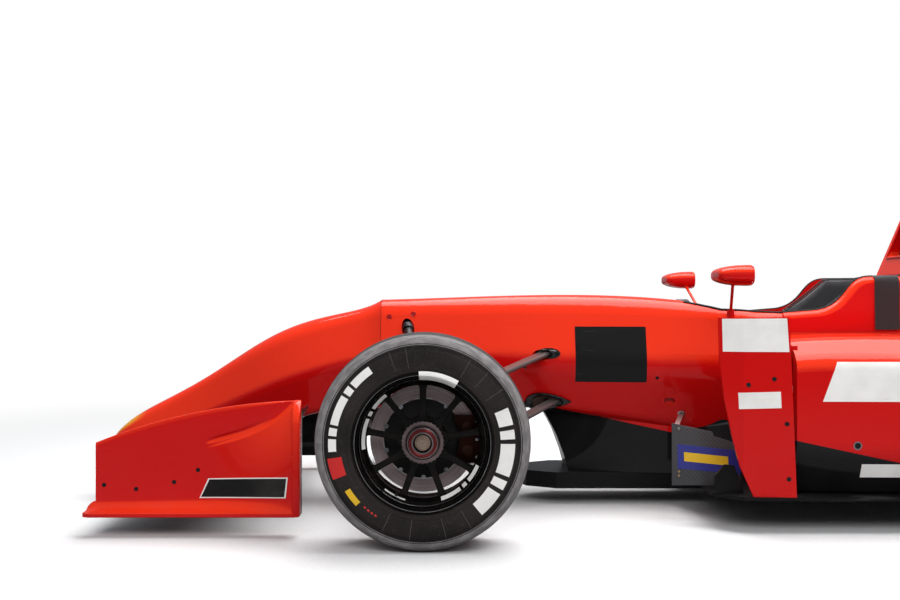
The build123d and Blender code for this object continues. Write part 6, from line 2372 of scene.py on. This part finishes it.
@dataclass
class TailTrim:
    """Rear wing strips and bolts, louvres, the rain light's lens and the floor's screws."""

    floor_screws: tuple[Pair, ...] = (
        (0.960, 0.600), (1.150, 0.625), (1.350, 0.625), (1.550, 0.625), (1.750, 0.625), (1.950, 0.625),
        (2.150, 0.625), (2.330, 0.600))
    slot_plate: tuple[Pair, ...] = (
        (3.130, 0.770), (3.140, 0.800), (3.260, 0.872), (3.285, 0.874), (3.270, 0.840), (3.190, 0.790))
    skids: tuple[Pair, ...] = (
        (0.42, 0.0), (0.95, -0.09), (0.95, 0.09), (1.70, -0.09), (1.70, 0.09), (2.40, 0.0))
    endplate_bolts: tuple[Pair, ...] = (
        (2.935, 0.742), (3.060, 0.760), (3.150, 0.778), (3.190, 0.826), (3.290, 0.862), (3.010, 0.388),
        (3.100, 0.398), (3.190, 0.412))

    def build(self) -> None:
        """All parts behind the cockpit."""
        strips = [
            Bench.block("top", at(3.3165, -0.464, 0.868), at(3.3190, 0.464, 0.8885), 0.0004, 1),
            Bench.block("beam", at(3.2140, -0.464, 0.416), at(3.2160, 0.464, 0.4300), 0.0004, 1)]
        for y in (-0.20, 0.20):
            strips.append(
                Bench.plate("slot_plate", [at(x, y, z) for x, z in self.slot_plate], (0, 0.003, 0), 0.0006))
        Bench.group("rear_wing_strips", strips, WING_CARBON, "wing_black")
        for side in Side:
            bolts = Bench.studs("rear_endplates", side, self.endplate_bolts, 0.0065, 0.0022, 6)
            Bench.group(f"rear_endplate_bolts_{side.word}", bolts, STEEL, "rod_metal")
            slats = []
            for i in range(5):
                z = 0.640 + 0.024 * i
                start = side.at(2.885, 0.4750, z)
                run, across = Vector((0.130, 0, 0.012)), (0, side.value * 0.006, -0.007)
                slats.append(Bench.bar("slat", start, start + run, across, 0.0016))
            Bench.group(f"endplate_slats_{side.word}", slats, WING_CARBON, "wing_black")
            spots = [Bench.touch("floor", side.at(x, y, 0.14), DOWN)[0] for x, y in self.floor_screws]
            screws = [
                Bench.rod("screw", spot + 0.002 * DOWN, spot - 0.0014 * DOWN, 0.0075, 24, 0.0005)
                for spot in spots]
            Bench.group(f"floor_screws_{side.word}", screws, DARK_STEEL, "arm_black")
        self.lamp()
        pads = [
            Bench.rod("skid", at(x, y, 0.0492), at(x, y, 0.0520), 0.022, 32, 0.0004) for x, y in self.skids]
        Bench.group("skid_pads", pads, STEEL, "dark_carbon")

    def lamp(self) -> None:
        """Rows of small domes behind a black frame."""
        domes = []
        for row in range(5):
            for column in range(5):
                Bench.clear()
                bpy.ops.mesh.primitive_uv_sphere_add(
                    segments=12, ring_count=8, radius=0.0058,
                    location=at(3.3085, 0.0145 * (column - 2), 0.281 + 0.0128 * (row - 2)))
                domes.append(Bench.settle(Bench.named(f"dome_{row}_{column}")))
        Bench.group("lamp_domes", domes, LAMP_RED, "light_red", angle=60)
        bars = [
            Bench.block("bar", at(3.306, -0.0405, z), at(3.3125, 0.0405, z + 0.0035), 0.0005)
            for z in (0.2435, 0.3150)]
        bars += [
            Bench.block("post", at(3.306, y, 0.2435), at(3.3125, y + 0.0035, 0.3185), 0.0005)
            for y in (-0.0405, 0.0370)]
        Bench.group("lamp_frame", bars, MESH_BLACK, "arm_black")


@dataclass
class Calipers:
    """Piston caps and bridge bolts on each brake caliper."""

    middle_x: float = 0.115
    out_depth: float = 0.106

    def build(self) -> None:
        """Front ones steer with their knuckles."""
        for end, (lip, _) in RIM_SIZES.items():
            for side in Side:
                centre = middle_of(f"tyre_{end}_{side.word}")
                y = side.value * (lip - self.out_depth)
                caps, bolts = [], []
                for z in (-0.030, 0.030):
                    spot = Vector((centre.x + self.middle_x, y - side.value * 0.001, centre.z + z))
                    caps.append(Bench.rod(f"cap_{z}", spot, spot + side.out(0.0035), 0.0165, 32, 0.0010))
                    caps.append(Bench.rod(f"key_{z}", spot, spot + side.out(0.0055), 0.0070, 6, 0.0006))
                for z in (-0.052, 0.0, 0.052):
                    spot = Vector((centre.x + self.middle_x + 0.024, y, centre.z + z * 0.9))
                    bolts.append(Bench.rod(f"bolt_{z}", spot, spot + side.out(0.0045), 0.0050, 6, 0.0006))
                body = f"knuckle_{side.word}" if end == "front" else "chassis"
                Bench.group(f"caliper_caps_{end}_{side.word}", caps, CALIPER, "upright_metal", body)
                Bench.group(f"caliper_bolts_{end}_{side.word}", bolts, STEEL, "upright_metal", body)


@dataclass
class Studio:
    """Camera, floor and soft light."""

    camera_x: float = 0.069
    camera_y: float = -4.045
    camera_z: float = 0.637
    lens: float = 50.0
    floor_size: float = 120.0
    fade: Pair = (2.5, 5.2)

    def build(self) -> None:
        """Sets up the camera, the floor, the lamps and the background."""
        Bench.clear()
        bpy.ops.object.camera_add(
            location=at(self.camera_x, self.camera_y, self.camera_z), rotation=(math.pi / 2, 0, 0))
        camera = bpy.context.object
        camera.name = "photo_camera"
        camera.data.lens = self.lens
        camera.data.sensor_width = 36.0
        camera.data.clip_end = 300.0
        bpy.context.scene.camera = camera
        bpy.context.scene.view_settings.view_transform = "Standard"
        self.floor()
        self.lamps()
        self.background()

    def floor(self) -> None:
        """A wide pale floor that keeps the car's shadow and fades into the background."""
        Bench.clear()
        bpy.ops.mesh.primitive_plane_add(size=self.floor_size, location=(0, 0, -0.0005))
        floor = Bench.settle(Bench.named("studio_floor"))
        floor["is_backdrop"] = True
        material = bpy.data.materials.new("studio_floor")
        material.use_nodes = True
        graph = Graph(material.node_tree)
        shader = graph.tree.nodes["Principled BSDF"]
        path = graph.node("LightPath").outputs
        shown = graph.math("MAXIMUM", path["Is Camera Ray"], path["Is Transmission Ray"])
        x, y, _ = graph.split(graph.place())
        far = graph.math("SQRT", graph.plus(graph.times(x, x), graph.times(y, y)))
        grain = graph.noise(graph.place(), 90.0, 5.0)
        pale = graph.mix(graph.ramp(grain, 0.3, 0.7), (0.80, 0.80, 0.80), (0.76, 0.76, 0.76))
        graph.feed(shader.inputs["Base Color"], graph.mix(shown, (0.30, 0.30, 0.30), pale))
        shader.inputs["Roughness"].default_value = 0.9
        glow = graph.node("Emission")
        fade = graph.node("MixShader")
        graph.feed(fade.inputs[0], graph.times(graph.ramp(far, *self.fade), shown))
        graph.feed(fade.inputs[1], shader.outputs[0])
        graph.feed(fade.inputs[2], glow.outputs[0])
        graph.feed(graph.tree.nodes["Material Output"].inputs["Surface"], fade.outputs[0])
        floor.data.materials.append(material)

    def lamps(self) -> None:
        """Soft boxes over the car and beside it."""
        for name, place, aim, size, power in (
            ("over_head", (0.2, 0.2, 4.2), (0.0, 0.0, 0.3), (6.0, 3.0), 330.0),
            ("near_side", (-1.0, -4.6, 2.8), (0.0, 0.0, 0.3), (5.0, 2.0), 130.0),
            ("behind", (1.5, 4.6, 2.6), (0.0, 0.0, 0.5), (5.0, 2.0), 60.0),
        ):
            Bench.clear()
            turn = (Vector(aim) - Vector(place)).to_track_quat("-Z", "Y").to_euler()
            bpy.ops.object.light_add(type="AREA", location=place, rotation=turn)
            lamp = bpy.context.object
            lamp.name = name
            lamp.data.shape = "RECTANGLE"
            lamp.data.size, lamp.data.size_y = size
            lamp.data.energy = power
            lamp.visible_glossy = name == "over_head"

    def background(self) -> None:
        """White for the camera, a plain soft fill for the light and the reflections."""
        world = bpy.data.worlds.new("studio_sky")
        bpy.context.scene.world = world
        world.use_nodes = True
        graph = Graph(world.node_tree)
        path = graph.node("LightPath").outputs
        shown = graph.math("MAXIMUM", path["Is Camera Ray"], path["Is Transmission Ray"])
        shader = graph.tree.nodes["Background"]
        graph.feed(shader.inputs["Color"], graph.mix(shown, (0.62, 0.64, 0.68), (1.0, 1.0, 1.0)))
        graph.feed(shader.inputs["Strength"], graph.blend(shown, 0.5, 1.0))


def write_size() -> None:
    """Puts the box of the solids and of the finished looks beside each other; the table is not written
    anywhere.
    """
    boxes = {"cad": CAD_BOX, "visual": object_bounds()}
    rows = {name: [list(corner) for corner in corners] for name, corners in boxes.items()}


TYRES = {
    "front": {"radius": 0.277, "section": 0.123, "tread": 0.093, "edge": 0.1097},
    "rear": {"radius": 0.285, "section": 0.145, "tread": 0.120, "edge": 0.1317},
}
RIM_SIZES = {"front": (0.9175, 0.240), "rear": (0.912, 0.284)}


def main() -> None:
    """Builds the studio and dresses the car, piece by piece."""
    logging.basicConfig(level=logging.INFO, format="%(message)s")
    Bodywork().dress()
    parts: list[object] = [Studio()]
    for end, sizes in TYRES.items():
        for side in Side:
            parts += [Tyre(end, side, **sizes), Rim(end, side, *RIM_SIZES[end])]
            parts.append(WheelTrim(end, side, RIM_SIZES[end][0]))
    parts += [FrontEndplate(side) for side in Side]
    parts += [
        Headrest(), Belts(), TubTrim(), BoardTrim(), PodTrim(), Mirrors(), Suspension(), Vanes(),
        FrontWingTrim(), WheelFace(), CockpitTrim(), CoverTrim(), TailTrim(), Calipers()]
    for part in parts:
        part.build()
        LOG.info("built %s", type(part).__name__)
    write_size()


if __name__ == "__main__":
    main()
